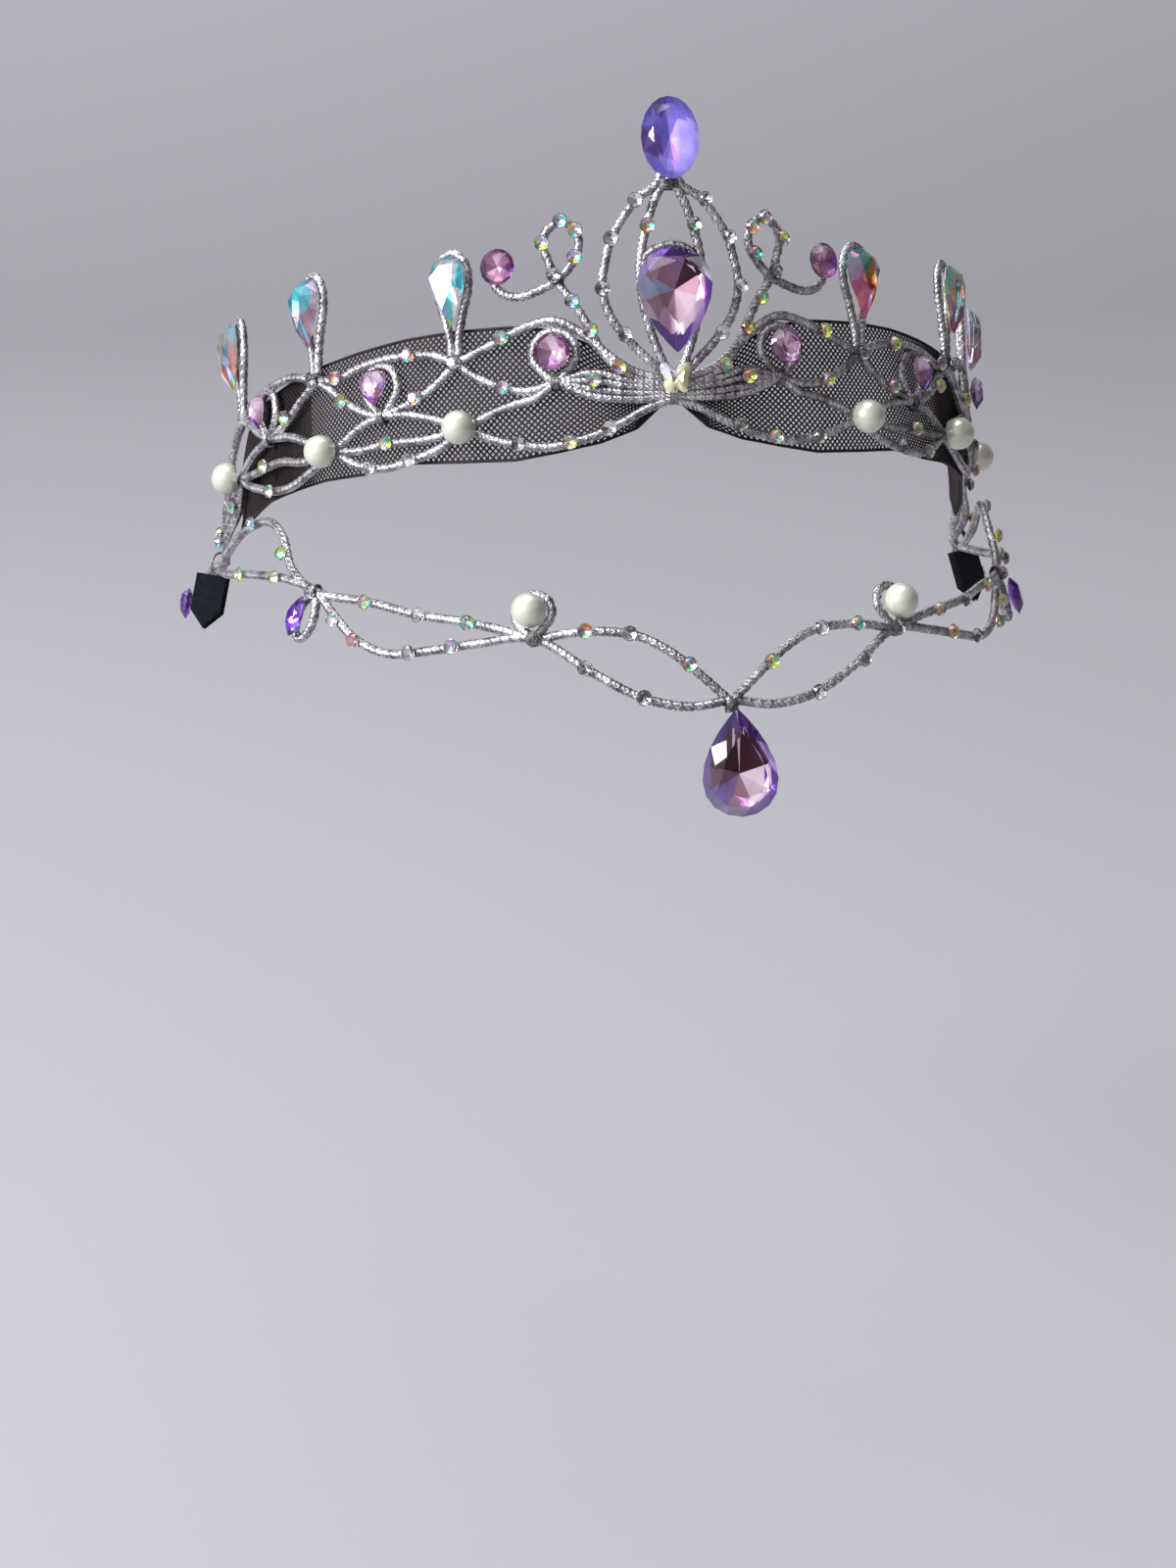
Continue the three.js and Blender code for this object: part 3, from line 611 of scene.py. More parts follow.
def texture(nodes, links, kind, **sizes):
    """A texture laid on the model itself."""
    place = nodes.new("ShaderNodeTexCoord")
    made = nodes.new(kind)
    for name, size in sizes.items():
        made.inputs[name].default_value = size
    wire(links, (place, "Object", made, "Vector"))
    return made


def tint(nodes, links, surface, value, stops):
    """Colours a surface by a value between the stops of a ramp."""
    shades = ramp(nodes, stops)
    links.new(value, shades.inputs["Fac"])
    wire(links, (shades, "Color", surface, "Base Color"))


def finish(surface, **values):
    """Sets the surface's own sockets, which have spaces where the names here have _."""
    for name, value in values.items():
        surface.inputs[name.replace("_", " ")].default_value = value


def group(name, inputs, outputs):
    """A shader node group with named sockets, and its inner nodes."""
    made = bpy.data.node_groups.new(name, "ShaderNodeTree")
    for socket, kind, value in inputs:
        made.interface.new_socket(socket, in_out="INPUT", socket_type=kind).default_value = value
    for socket, kind in outputs:
        made.interface.new_socket(socket, in_out="OUTPUT", socket_type=kind)
    return made, made.nodes.new("NodeGroupInput"), made.nodes.new("NodeGroupOutput")


def metal_thread_group():
    """Uneven brightness of spun metallic thread: patches, and fine glints along it."""
    made, into, out = group(
        "Metallic thread",
        [("Bright", "NodeSocketColor", (0.8, 0.8, 0.8, 1)),
         ("Dull", "NodeSocketColor", (0.3, 0.3, 0.3, 1)),
         ("Patch size", "NodeSocketFloat", 300.0), ("Glint size", "NodeSocketFloat", 2500.0)],
        [("Colour", "NodeSocketColor"), ("Roughness", "NodeSocketFloat"), ("Height", "NodeSocketFloat")])
    nodes, links = made.nodes, made.links
    place = nodes.new("ShaderNodeTexCoord")
    patch = nodes.new("ShaderNodeTexNoise")
    glint = nodes.new("ShaderNodeTexNoise")
    for noise, size in ((patch, "Patch size"), (glint, "Glint size")):
        wire(links, (place, "Object", noise, "Vector"), (into, size, noise, "Scale"))
    both = add_node(nodes, "ShaderNodeMath", operation="MULTIPLY")
    wire(links, (patch, "Fac", both, 0), (glint, "Fac", both, 1))
    spread = nodes.new("ShaderNodeMapRange")
    finish(spread, From_Min=0.16, From_Max=0.36)
    wire(links, (both, 0, spread, "Value"))
    mix = add_node(nodes, "ShaderNodeMix", data_type="RGBA")
    wire(links, (spread, 0, mix, "Factor"), (into, "Dull", mix, "A"), (into, "Bright", mix, "B"))
    rough = nodes.new("ShaderNodeMapRange")
    finish(rough, To_Min=0.5, To_Max=0.22)
    wire(links, (glint, "Fac", rough, "Value"), (mix, "Result", out, "Colour"),
         (rough, 0, out, "Roughness"), (glint, "Fac", out, "Height"))
    return made


def facet_group():
    """The colour that each facet carries, turned and strengthened alike for all stones."""
    made, into, out = group(
        "Facet colour",
        [("Hue", "NodeSocketFloat", 0.5), ("Saturation", "NodeSocketFloat", 1.0),
         ("Depth", "NodeSocketFloat", 0.1)],
        [("Colour", "NodeSocketColor")])
    nodes, links = made.nodes, made.links
    layer = add_node(nodes, "ShaderNodeAttribute", attribute_name="facet")
    cloud = texture(nodes, links, "ShaderNodeTexNoise", Scale=420)
    light = nodes.new("ShaderNodeMapRange")
    finish(light, From_Min=0.3, From_Max=0.7, To_Max=1.05)
    less = add_node(nodes, "ShaderNodeMath", operation="SUBTRACT")
    less.inputs[0].default_value = 1
    wire(links, (into, "Depth", less, 1), (cloud, "Fac", light, "Value"),
         (less, 0, light, "To Min"))
    turned = nodes.new("ShaderNodeHueSaturation")
    wire(links, (into, "Hue", turned, "Hue"), (into, "Saturation", turned, "Saturation"),
         (light, 0, turned, "Value"), (layer, "Color", turned, "Color"),
         (turned, "Color", out, "Colour"))
    return made


def thread_material(name, bright, dull, metallic=0.85):
    material, nodes, links, surface = shader(name)
    thread = add_node(nodes, "ShaderNodeGroup", node_tree=bpy.data.node_groups["Metallic thread"])
    thread.inputs["Bright"].default_value = (*bright, 1)
    thread.inputs["Dull"].default_value = (*dull, 1)
    bump = nodes.new("ShaderNodeBump")
    finish(bump, Strength=0.35, Distance=0.05 * MM)
    wire(links, (thread, "Colour", surface, "Base Color"),
         (thread, "Roughness", surface, "Roughness"), (thread, "Height", bump, "Height"),
         (bump, "Normal", surface, "Normal"))
    finish(surface, Metallic=metallic)
    return material


def facet_material(name, stones, depth, metallic, roughness, **values):
    """A stone's finish, whose facets carry the colours given to each; on the back facets these hold
    painted reflections and painted shade.
    """
    material, nodes, links, surface = shader(name)
    facet = add_node(nodes, "ShaderNodeGroup", node_tree=bpy.data.node_groups["Facet colour"])
    finish(facet, Hue=stones.hue, Saturation=stones.saturation, Depth=depth)
    wire(links, (facet, "Colour", surface, "Base Color"))
    finish(surface, Metallic=metallic, Roughness=roughness, **values)
    return material


def glass_material(name, stones, film=0.0):
    """Clear cut glass with a faint tint of its own on each facet."""
    return facet_material(name, stones, 0.04, 0, 0.015, Transmission_Weight=1, IOR=1.54,
                          Thin_Film_Thickness=film, Thin_Film_IOR=1.9)


def pearl_material(colour):
    material, nodes, links, surface = shader("Cream pearl")
    noise = texture(nodes, links, "ShaderNodeTexNoise", Scale=260)
    tint(nodes, links, surface, noise.outputs["Fac"], [(0.3, [c * 0.93 for c in colour]), (0.7, colour)])
    finish(surface, Metallic=0.35, Roughness=0.3, Coat_Weight=1, Coat_Roughness=0.05)
    return material


def net_material(colour):
    material, nodes, links, surface = shader("Net filament")
    noise = texture(nodes, links, "ShaderNodeTexNoise", Scale=1800)
    tint(nodes, links, surface, noise.outputs["Fac"], [(0.35, colour), (0.75, [c * 2.2 for c in colour])])
    finish(surface, Roughness=0.6, Specular_IOR_Level=0.25)
    return material


def elastic_material():
    material, nodes, links, surface = shader("Black elastic")
    weave = texture(nodes, links, "ShaderNodeTexWave", Scale=900, Distortion=1.5)
    cross = texture(nodes, links, "ShaderNodeTexVoronoi", Scale=2600)
    both = add_node(nodes, "ShaderNodeMath", operation="ADD")
    wire(links, (weave, "Fac", both, 0), (cross, "Distance", both, 1))
    bump = nodes.new("ShaderNodeBump")
    finish(bump, Distance=0.15 * MM, Strength=0.7)
    wire(links, (both, 0, bump, "Height"), (bump, "Normal", surface, "Normal"))
    tint(nodes, links, surface, cross.outputs["Distance"],
         [(0.2, (0.002, 0.003, 0.004)), (0.9, (0.008, 0.01, 0.015))])
    finish(surface, Roughness=0.85, Specular_IOR_Level=0.12)
    return material


def make_materials(settings):
    """All finishes, by name."""
    metal_thread_group()
    facet_group()
    cord, stones = settings.tiara_cord, settings.tiara_stones
    # A darker copy of the braid's colours: painted shade for the strands that go round the other way.
    shaded = [c * 0.62 for c in cord.silver], [c * 0.35 for c in cord.tarnish]
    return {
        "braid": thread_material("Silver braid", tuple(cord.silver), tuple(cord.tarnish)),
        "shaded_braid": thread_material("Shaded braid", *shaded),
        "core": thread_material("Cord core", (0.05, 0.045, 0.055), (0.015, 0.012, 0.015), 0.3),
        "lashing": thread_material("Lashing thread", (0.42, 0.4, 0.42), (0.05, 0.045, 0.05), 0.7),
        # The foil and the milky backing take the colours listed facet by facet, painted reflections and
        # painted shade among them.
        "foil": facet_material("Foil with facet colours and painted light", stones, 0.12, 0.72, 0.16),
        "milky": facet_material("Milky backing", stones, 0.25, 0.25, 0.4),
        "amethyst": glass_material("Amethyst glass", stones),
        "opal": glass_material("Opal glass", stones),
        "aurora": glass_material("Coated crystal", stones, 420),
        "clear": glass_material("Clear crystal", stones),
        "pearl": pearl_material(tuple(stones.pearl)),
        "net": net_material(tuple(settings.tiara_net.colour)),
        "elastic": elastic_material(),
    }


MATERIALS = {}


# Shapes

def braid(shell, path, settings):
    """Braided cord along a path: strands that go round both ways, two over and two under."""
    count = settings.strands
    pitch = settings.pitch / MM
    step = pitch / settings.steps
    line = smooth(path, step)
    out, across = cross_frames(line)
    radius = settings.radius / MM
    swell = radius * 0.11
    middle = radius - swell
    half_width = 0.5 * math.pi / count * 1.5
    edge_dip = radius * 0.1
    turned = 2 * math.pi * np.arange(len(line)) * step / pitch
    for way in (1, -1):
        for k in range(count):
            start = 2 * math.pi * k / count
            theta = way * turned + start
            phase = count * (2 * turned + way * start) / 4 + math.pi * k / 2 - math.pi / 4
            reach = middle + way * swell * np.clip(1.6 * np.cos(phase), -1, 1)
            rows = []
            for aside, dip in ((-half_width, edge_dip), (0, 0), (half_width, edge_dip)):
                around = np.cos(theta + aside)[:, None] * out + np.sin(theta + aside)[:, None] * across
                rows.append(line + around * (reach - dip)[:, None])
            points = np.stack(rows, 1)
            low = np.arange(len(line) - 1)[:, None] * 3 + np.arange(2)[None, :]
            faces = np.stack([low, low + 1, low + 4, low + 3], -1).reshape(-1, 4)
            # Strands going one way take the silver braid, the others its darker copy, which is painted
            # shade.
            shell.add(points, faces, BRAID if way > 0 else SHADED_BRAID)
    shell.tube(smooth(path, 1.2), middle - swell - edge_dip * 0.6, 6, CORE)


def wrap(shell, kind, matrix):
    """Thread wound round what runs along the frame's x."""
    across, deep, turns = WRAPS[kind]
    steps = np.arange(turns * WRAP_STEPS + 1) / WRAP_STEPS
    turn = steps * 2 * math.pi
    along = (steps - turns / 2) * WRAP_SPACING
    points = np.stack([along, across * np.cos(turn), deep * np.sin(turn)], -1)
    shell.tube(placed(points, matrix), WRAP_THREAD, 4, LASHING)


def stone_outline(kind, turns):
    """Points on a stone's outline; turn 0 is at its foot and it goes anticlockwise."""
    size = STONES[kind]
    turn = np.asarray(turns, float) % 1 * 2 * math.pi
    if kind == "navette":
        across = np.sin(turn) * np.abs(np.sin(turn)) ** 0.5
    else:
        def wide(t):
            return np.sin(t) * np.abs(np.sin(t / 2)) ** size["taper"]
        widest = wide(np.linspace(0, math.pi, 181)).max()
        across = np.where(turn <= math.pi, wide(turn), -wide(2 * math.pi - turn)) / widest
    return np.stack([across * size["width"] / 2, -np.cos(turn) * size["height"] / 2], -1)


def cut_stone(shell, kind, matrix, draw, crown_colour, backs, glass=0, foil=1):
    """A brilliant cut: a table, stars, kites and halves in glass, and foiled facets behind them.

    backs holds the colours of the wide facets and of the edge facets, or one list to draw from.
    """
    size = STONES[kind]
    count = size["kites"]
    thick = size["thick"]
    table = size["table"]
    flat = size["flat"]
    focus = np.array([0, size["height"] * 0.1 if size["taper"] else 0])

    def ring(turns, share, height):
        reach = focus + (stone_outline(kind, turns) - focus) * np.asarray(share)
        return np.hstack([reach, np.full((len(reach), 1), height * thick)])

    even = np.arange(count) / count
    odd = even + 0.5 / count
    keel = KEEL if kind == "oval" else (0.9, 0.9) if flat else (0.68, 0.68)
    low = 0.12 if flat else 0.42
    high = low + 0.07
    face = 0.97
    star = (high + face) / 2 + 0.07
    points = placed(np.vstack([
        ring(even, table, face),
        ring(odd, (1 + table) / 2 - 0.02, star),
        ring(even, 1, high), ring(odd, 1, high),
        ring(even, 1, low), ring(odd, 1, low),
        ring(odd, keel, 0.02 if flat else 0.2),
        [[*focus, face * thick], [*focus, 0.0]],
    ]), matrix)
    t, m, g, h, gl, hl, p = (i * count for i in range(7))
    top, culet = 7 * count, 7 * count + 1
    crown, crown_tints, back, back_tints = [], [], [], []
    for i in range(count):
        n = (i + 1) % count
        # Each back facet takes a listed colour; the light and dark ones are painted reflections and
        # painted shade.
        if len(backs) > 1:
            wide, edge = (FACET_COLOUR_AND_LIGHT[colours.split()[n]] for colours in backs)
        else:
            wide, edge = (FACET_COLOUR_AND_LIGHT[draw.choice(backs[0].split())] for _ in range(2))
        upper = [(t + i, m + i, t + n), (t + n, m + i, g + n), (t + n, g + n, m + n),
                 (m + i, g + i, h + i), (m + i, h + i, g + n)]
        rim = [(g + i, gl + i, h + i), (h + i, gl + i, hl + i), (h + i, hl + i, g + n),
               (g + n, hl + i, gl + n)]
        crown += [(top, t + i, t + n), *upper, *rim]
        for _ in range(len(upper) + 2):
            light = draw.uniform(0.86, 1)
            crown_tints.append([c ** draw.uniform(0.5, 1.6) * light for c in crown_colour])
        crown_tints[-len(upper) - 2] = crown_colour
        crown_tints += [crown_tints[-1]] * 3
        back += [(gl + i, p + i, hl + i), (hl + i, p + i, gl + n), (gl + n, p + i, p + n),
                 (p + i, culet, p + n)]
        back_tints += [edge, edge, edge, wide]
    start = shell.count
    shell.add(points, crown, glass, crown_tints)
    shell.close(back, start, foil, back_tints)


def strand_angle(hand, angle):
    slack = STRAND_SLACK[hand]
    reach = abs(angle) / STRAND_REACH
    spread = slack + (1 - slack) * reach ** 4
    return SIDES[hand] * angle * spread + STRAND_TURN * (1 - reach ** 2)


def strand_point(hand, place):
    angle, height = place
    return wall_point(strand_angle(hand, angle), height, STRAND_OUT)


def band_joint(side, joint, rise=0, out=CORD_OUT, spin=0):
    """The frame at a joint of the band, or above it."""
    angle, height = JOINTS[joint]
    return wall_frame(side * angle, height + rise, out, spin)


def strand_joint(hand, joint, rise=0, out=STRAND_OUT):
    angle, height = STRAND_JOINTS[joint]
    return wall_frame(strand_angle(hand, angle), height + rise, out)


def motif_out(height):
    return MOTIF_OUT + MOTIF_LEAN * (height - MOTIF_FOOT)


def motif_point(place, side=1):
    angle, height = place
    return wall_point(side * angle, height, motif_out(height))


def hanging_frame(hand, out, spin=0):
    """The frame of a navette below its joint, or of the loop behind it when turned by 180."""
    side = SIDES[hand]
    angle, height = STRAND_JOINTS["navette"]
    across = strand_angle(hand, angle) + side * NAVETTE["angle"]
    return wall_frame(across, height - NAVETTE["drop"], out, spin + side * NAVETTE["turn"])


def setting_loop(matrix, radius, foot_drop, stretch=1):
    """A circle of cord, open at its foot, which is foot_drop below its middle."""
    points = [(-0.3, -foot_drop, 0)]
    for turn in range(-60, 241, 50):
        at = math.radians(180 - turn)
        points.append((radius * math.cos(at), radius * stretch * math.sin(at), 0))
    points.append((0.3, -foot_drop, 0))
    return placed(points, matrix)


def hairpin(matrix):
    """A long loop of cord behind a teardrop, open at its foot on the joint below."""
    half = [(0.75, -TEAR_LIFT), *HAIRPIN]
    left = [(-x, y, 0) for x, y in half]
    right = [(x, y, 0) for x, y in reversed(half)]
    return placed([*left, (0, HAIRPIN_TOP, 0), *right], matrix)


def band_runs(side):
    """The points that each cord of one side of the band runs through."""
    return [[wall_point(side * angle, height, *out) for angle, height, *out in cord]
            for cord in BAND_CORDS.values()]


def motif_runs():
    return [[motif_point(place, side) for place in cord]
            for side in SIDES.values() for cord in MOTIF_CORDS.values()]


def strand_runs(hand):
    return [[strand_point(hand, place) for place in cord] for cord in STRAND_CORDS.values()]


class TIARA_OT_band_cords(bpy.types.Operator):
    """Braided cords of the band, with the hairpins and circles that hold its stones"""
    bl_idname = "tiara.band_cords"
    bl_label = "Band cords"

    def execute(self, context):
        settings = context.scene.tiara_cord
        for hand, side in SIDES.items():
            shell = Shell()
            for run in band_runs(side):
                braid(shell, run, settings)
            for joint in ("tear1", "tear2", "tear3"):
                braid(shell, hairpin(band_joint(side, joint, TEAR_LIFT)), settings)
                wrap(shell, "hairpin", band_joint(side, joint, 0.9, spin=90))
            for joint in ("lobe", "pear1", "pear2"):
                middle = band_joint(side, joint, STONE_RISE)
                braid(shell, setting_loop(middle, LOOP_RADIUS, STONE_RISE), settings)
                wrap(shell, "circle", band_joint(side, joint))
            wrap(shell, "scroll", band_joint(side, "scroll", spin=90))
            wrap(shell, "end", band_joint(side, "end", out=END_WRAP_OUT))
            shell.stand_in("band_cords_" + hand, "cord_band_" + hand, "silver_cord", *CORD_FINISHES)
        return {"FINISHED"}


class TIARA_OT_centre_cords(bpy.types.Operator):
    """Braided cords of the centre motif, one ovoid in another"""
    bl_idname = "tiara.centre_cords"
    bl_label = "Centre cords"

    def execute(self, context):
        shell = Shell()
        stem = [[motif_point(place) for place in cord] for cord in (MOTIF_ARCH, MOTIF_STEM)]
        for run in motif_runs() + stem:
            braid(shell, run, context.scene.tiara_cord)
        wrap(shell, "motif_top", wall_frame(0, MOTIF_TOP_WRAP, motif_out(MOTIF_TOP_WRAP), 90))
        wrap(shell, "motif_foot", wall_frame(0, MOTIF_FOOT_WRAP, CORD_OUT + 0.3))
        shell.stand_in("centre_cords", "centre_motif", "silver_cord", *CORD_FINISHES)
        return {"FINISHED"}


class TIARA_OT_strand_cords(bpy.types.Operator):
    """Two braided cords that cross and part along the forehead"""
    bl_idname = "tiara.strand_cords"
    bl_label = "Forehead strand"

    def execute(self, context):
        settings = context.scene.tiara_cord
        for hand in SIDES:
            shell = Shell()
            for run in strand_runs(hand):
                braid(shell, run, settings)
            middle = strand_joint(hand, "pearl", PEARL_RISE)
            braid(shell, setting_loop(middle, PEARL_LOOP_RADIUS, PEARL_RISE), settings)
            wrap(shell, "strand", strand_joint(hand, "pearl"))
            middle = hanging_frame(hand, STRAND_OUT, 180)
            braid(shell, setting_loop(middle, NAVETTE_LOOP_RADIUS, NAVETTE["loop"], 1.5), settings)
            wrap(shell, "strand", strand_joint(hand, "navette"))
            if hand == "left":
                wrap(shell, "knot", wall_frame(STRAND_TURN, KNOT_WRAP, STRAND_OUT, 90))
            shell.stand_in("strand_cords_" + hand, "forehead_strand_" + hand, "silver_cord",
                           *CORD_FINISHES)
        return {"FINISHED"}


class TIARA_OT_net(bpy.types.Operator):
    """Fine diamond net behind the band, drawn together at the front"""
    bl_idname = "tiara.net"
    bl_label = "Net band"

    def execute(self, context):
        settings = context.scene.tiara_net
        angle_at, top_at, bottom_at = np.array(NET, float).T
        angles = np.linspace(angle_at[0], angle_at[-1], 600)
        wall = wall_point(angles, 0, 0)
        far = np.concatenate([[0], np.cumsum(np.linalg.norm(np.diff(wall, axis=0), axis=1))])
        columns = int(far[-1] / (settings.cell / MM) * 2)
        rows = settings.rows * 2
        thread = settings.thread / MM
        gathered = int(np.interp(NET_GATHERED, angles, far) / far[-1] * columns)
        for hand, side in SIDES.items():
            def place(i, j, layer=0):
                angle = np.interp(np.asarray(i) / columns * far[-1], far, angles)
                top = np.interp(angle, angle_at, top_at)
                bottom = np.interp(angle, angle_at, bottom_at)
                share = np.asarray(j) / rows
                puff = 0.35 * np.sin(math.pi * share) * np.sin(angle * 0.21) ** 2
                return wall_point(side * angle, bottom + (top - bottom) * share, puff - 0.1 - 0.3 * layer)

            shell = Shell()
            for layer, first in ((0, 0), (1, gathered)):
                for lean in (1, -1):
                    for start in range(-rows, columns + rows + 1, 2):
                        j = np.arange(rows + 1)
                        i = start + (j if lean > 0 else rows - j)
                        inside = (i >= first) & (i <= columns)
                        if inside.sum() > 1:
                            path = place(i[inside] + 0.7 * layer, j[inside], layer)
                            shell.tube(path, thread, 4)
            for edge in (0, rows):
                i = np.arange(columns + 1)
                shell.tube(place(i, np.full(len(i), edge)), thread * 1.5, 5)
            for end in (0, columns):
                j = np.arange(rows + 1)
                shell.tube(place(np.full(len(j), end), j), thread * 1.3, 4)
            made = shell.stand_in("net_threads_" + hand, "net_band_" + hand, "net", "net")
        return {"FINISHED"}


def set_stone(node, kind, matrix, glass="amethyst", slot="amethyst", foil="foil", backs=None):
    shell = Shell()
    name = node + "_cut"
    cut_stone(shell, kind, matrix, Random(name), CROWNS[glass], BACKS[backs or node])
    shell.stand_in(name, node, slot, glass, foil, rounded=False)


class TIARA_OT_drops(bpy.types.Operator):
    """The two amethyst drops and the opal oval in the middle"""
    bl_idname = "tiara.drops"
    bl_label = "Drops and oval"

    def execute(self, context):
        set_stone("centre_drop", "drop", wall_frame(0, PEAR_HEIGHT, motif_out(PEAR_HEIGHT) + STONE_LIFT))
        set_stone("forehead_drop", "drop",
                  wall_frame(STRAND_TURN, DROP_HEIGHT, STRAND_OUT - 0.5 + STONE_LIFT, 180))
        set_stone("top_oval", "oval", wall_frame(0, OVAL_HEIGHT, motif_out(OVAL_HEIGHT) + STONE_LIFT),
                  "opal", "opal_crystal", "milky")
        return {"FINISHED"}


class TIARA_OT_teardrops(bpy.types.Operator):
    """Flat-backed crystals with a rainbow coating, in front of the hairpins"""
    bl_idname = "tiara.teardrops"
    bl_label = "Teardrops"

    def execute(self, context):
        for hand, side in SIDES.items():
            for i in (1, 2, 3):
                matrix = band_joint(side, f"tear{i}", TEAR_LIFT, CORD_OUT + STONE_LIFT)
                set_stone(f"teardrop_{hand}_{i}", "teardrop", matrix, "aurora", "aurora_crystal")
        return {"FINISHED"}


class TIARA_OT_amethysts(bpy.types.Operator):
    """Small amethysts: rounds, pears and navettes"""
    bl_idname = "tiara.amethysts"
    bl_label = "Small amethysts"

    def execute(self, context):
        on_band = CORD_OUT + STONE_LIFT
        for hand, side in SIDES.items():
            angle, height, out = END_STONE
            places = {
                "lobe_crystal": ("round", band_joint(side, "lobe", STONE_RISE, on_band)),
                "scroll_crystal": ("round", wall_frame(side * SCROLL_STONE[0], SCROLL_STONE[1], on_band)),
                "end_crystal": ("pear", wall_frame(side * angle, height, out + STONE_LIFT)),
            }
            for name, (kind, matrix) in places.items():
                set_stone(f"{name}_{hand}", kind, matrix, backs=name)
            for i in (1, 2):
                matrix = band_joint(side, f"pear{i}", STONE_RISE, on_band)
                set_stone(f"band_pear_{hand}_{i}", "pear", matrix, backs="band_pear")
            matrix = hanging_frame(hand, STRAND_OUT + STONE_LIFT)
            set_stone("strand_navette_" + hand, "navette", matrix, backs="strand_navette")
        return {"FINISHED"}


class TIARA_OT_chatons(bpy.types.Operator):
    """Small crystals dotted along every cord"""
    bl_idname = "tiara.chatons"
    bl_label = "Small crystals"

    def execute(self, context):
        draw = Random(11)
        runs = {"centre": motif_runs()}
        wanted = {"centre": [(motif_point((angle, height), side), kind)
                             for side in SIDES.values() for angle, height, kind in MOTIF_CHATONS]}
        for hand, side in SIDES.items():
            runs["band_" + hand] = band_runs(side)
            wanted["band_" + hand] = [(wall_point(side * angle, height, *out), kind)
                                      for angle, height, kind, *out in BAND_CHATONS]
            runs["strand_" + hand] = strand_runs(hand)
            wanted["strand_" + hand] = [(strand_point(hand, place), kind)
                                        for *place, kind in STRAND_CHATONS]
        for name, places in wanted.items():
            line = np.vstack([smooth(run, 0.2) for run in runs[name]])
            shell = Shell()
            for place, kind in places:
                near = line[np.argmin(np.linalg.norm(line - place, axis=1))]
                outward = outward_of(near)
                level = unit(np.cross((0, 0, 1), outward))
                matrix = matrix_of(level, np.cross(outward, level), outward,
                                   draw.uniform(0, 2 * math.pi), near + outward * CHATON_LIFT)
                clear = kind == "clear"
                # Coated crystals on the right take their own set: painted shade on the side away from the
                # light.
                colours = "dusk" if kind == "aurora" and name.endswith("right") else kind
                cut_stone(shell, "chaton", matrix, draw, CROWNS["clear" if clear else "aurora"],
                          (SPARKLES[colours],), int(clear), 2)
            finishes = [MATERIALS[finish] for finish in ("aurora", "clear", "foil")]
            made = shell.mesh(name + "_small_crystals", finishes, rounded=False)
        return {"FINISHED"}


class TIARA_OT_butterfly(bpy.types.Operator):
    """The small four-winged crystal at the front"""
    bl_idname = "tiara.butterfly"
    bl_label = "Butterfly"

    def execute(self, context):
        matrix = wall_frame(0, BUTTERFLY_HEIGHT, BUTTERFLY_OUT + STONE_LIFT)
        wings = smooth([(x, y, 0) for x, y in WINGS], 0.55)[:, :2]
        outline = np.vstack([wings, wings[-2:0:-1] * (-1, 1)])
        sides = len(outline)
        rings = [np.hstack([outline * share, np.full((sides, 1), height)])
                 for share, height in BUTTERFLY_RINGS]
        points = np.vstack([*rings, [[0, 0, BUTTERFLY_BODY], [0, 0, 0]]])
        faces, tints = [], []
        body = len(rings) * sides
        for i in range(sides):
            n = (i + 1) % sides
            x, y = outline[i] + outline[n]
            colour = BUTTERFLY_WINGS[(x < 0) + 2 * (y < 0)]
            made = [(n, i, body + 1), (body - sides + i, body - sides + n, body)]
            for low in range(0, body - sides, sides):
                made += [(low + i, low + n, low + sides + n), (low + i, low + sides + n, low + sides + i)]
            faces += made
            tints += [FACET_COLOUR_AND_LIGHT[colour]] * len(made)
        shell = Shell()
        shell.add(placed(points, matrix), faces, 0, tints)
        shell.stand_in("butterfly_cut", "butterfly", "aurora_crystal", "foil", rounded=False)
        return {"FINISHED"}


class TIARA_OT_pearls(bpy.types.Operator):
    """Cream pearls over the band's joints and on the forehead strand"""
    bl_idname = "tiara.pearls"
    bl_label = "Pearls"

    def execute(self, context):
        rings, around = 17, 32
        turn = np.linspace(-math.asin(PEARL_CUT / PEARL_RADIUS), math.pi / 2, rings + 1)[:-1, None]
        across = np.arange(around) * 2 * math.pi / around
        reach = PEARL_RADIUS * np.cos(turn)
        level = np.broadcast_to(PEARL_RADIUS * np.sin(turn) + PEARL_CUT, (rings, around))
        dome = np.stack([reach * np.cos(across), reach * np.sin(across), level], -1).reshape(-1, 3)
        top = len(dome)
        points = np.vstack([dome, [[0, 0, PEARL_RADIUS + PEARL_CUT], [0, 0, 0]]])
        last = top - around
        caps = [(last + i, last + (i + 1) % around, top) for i in range(around)]
        caps += [((i + 1) % around, i, top + 1) for i in range(around)]
        places = {}
        out = CORD_OUT + 0.3 + STONE_LIFT
        for hand, side in SIDES.items():
            for i in (1, 2, 3):
                places[f"band_pearl_{hand}_{i}"] = band_joint(side, f"pearl{i}", out=out)
            matrix = strand_joint(hand, "pearl", PEARL_RISE, STRAND_OUT + STONE_LIFT)
            places["strand_pearl_" + hand] = matrix
        for node, matrix in places.items():
            shell = Shell()
            shell.add(placed(points, matrix), ring_faces(rings, around))
            shell.close(caps, 0)
            shell.stand_in(node + "_round", node, "pearl", "pearl")
        return {"FINISHED"}


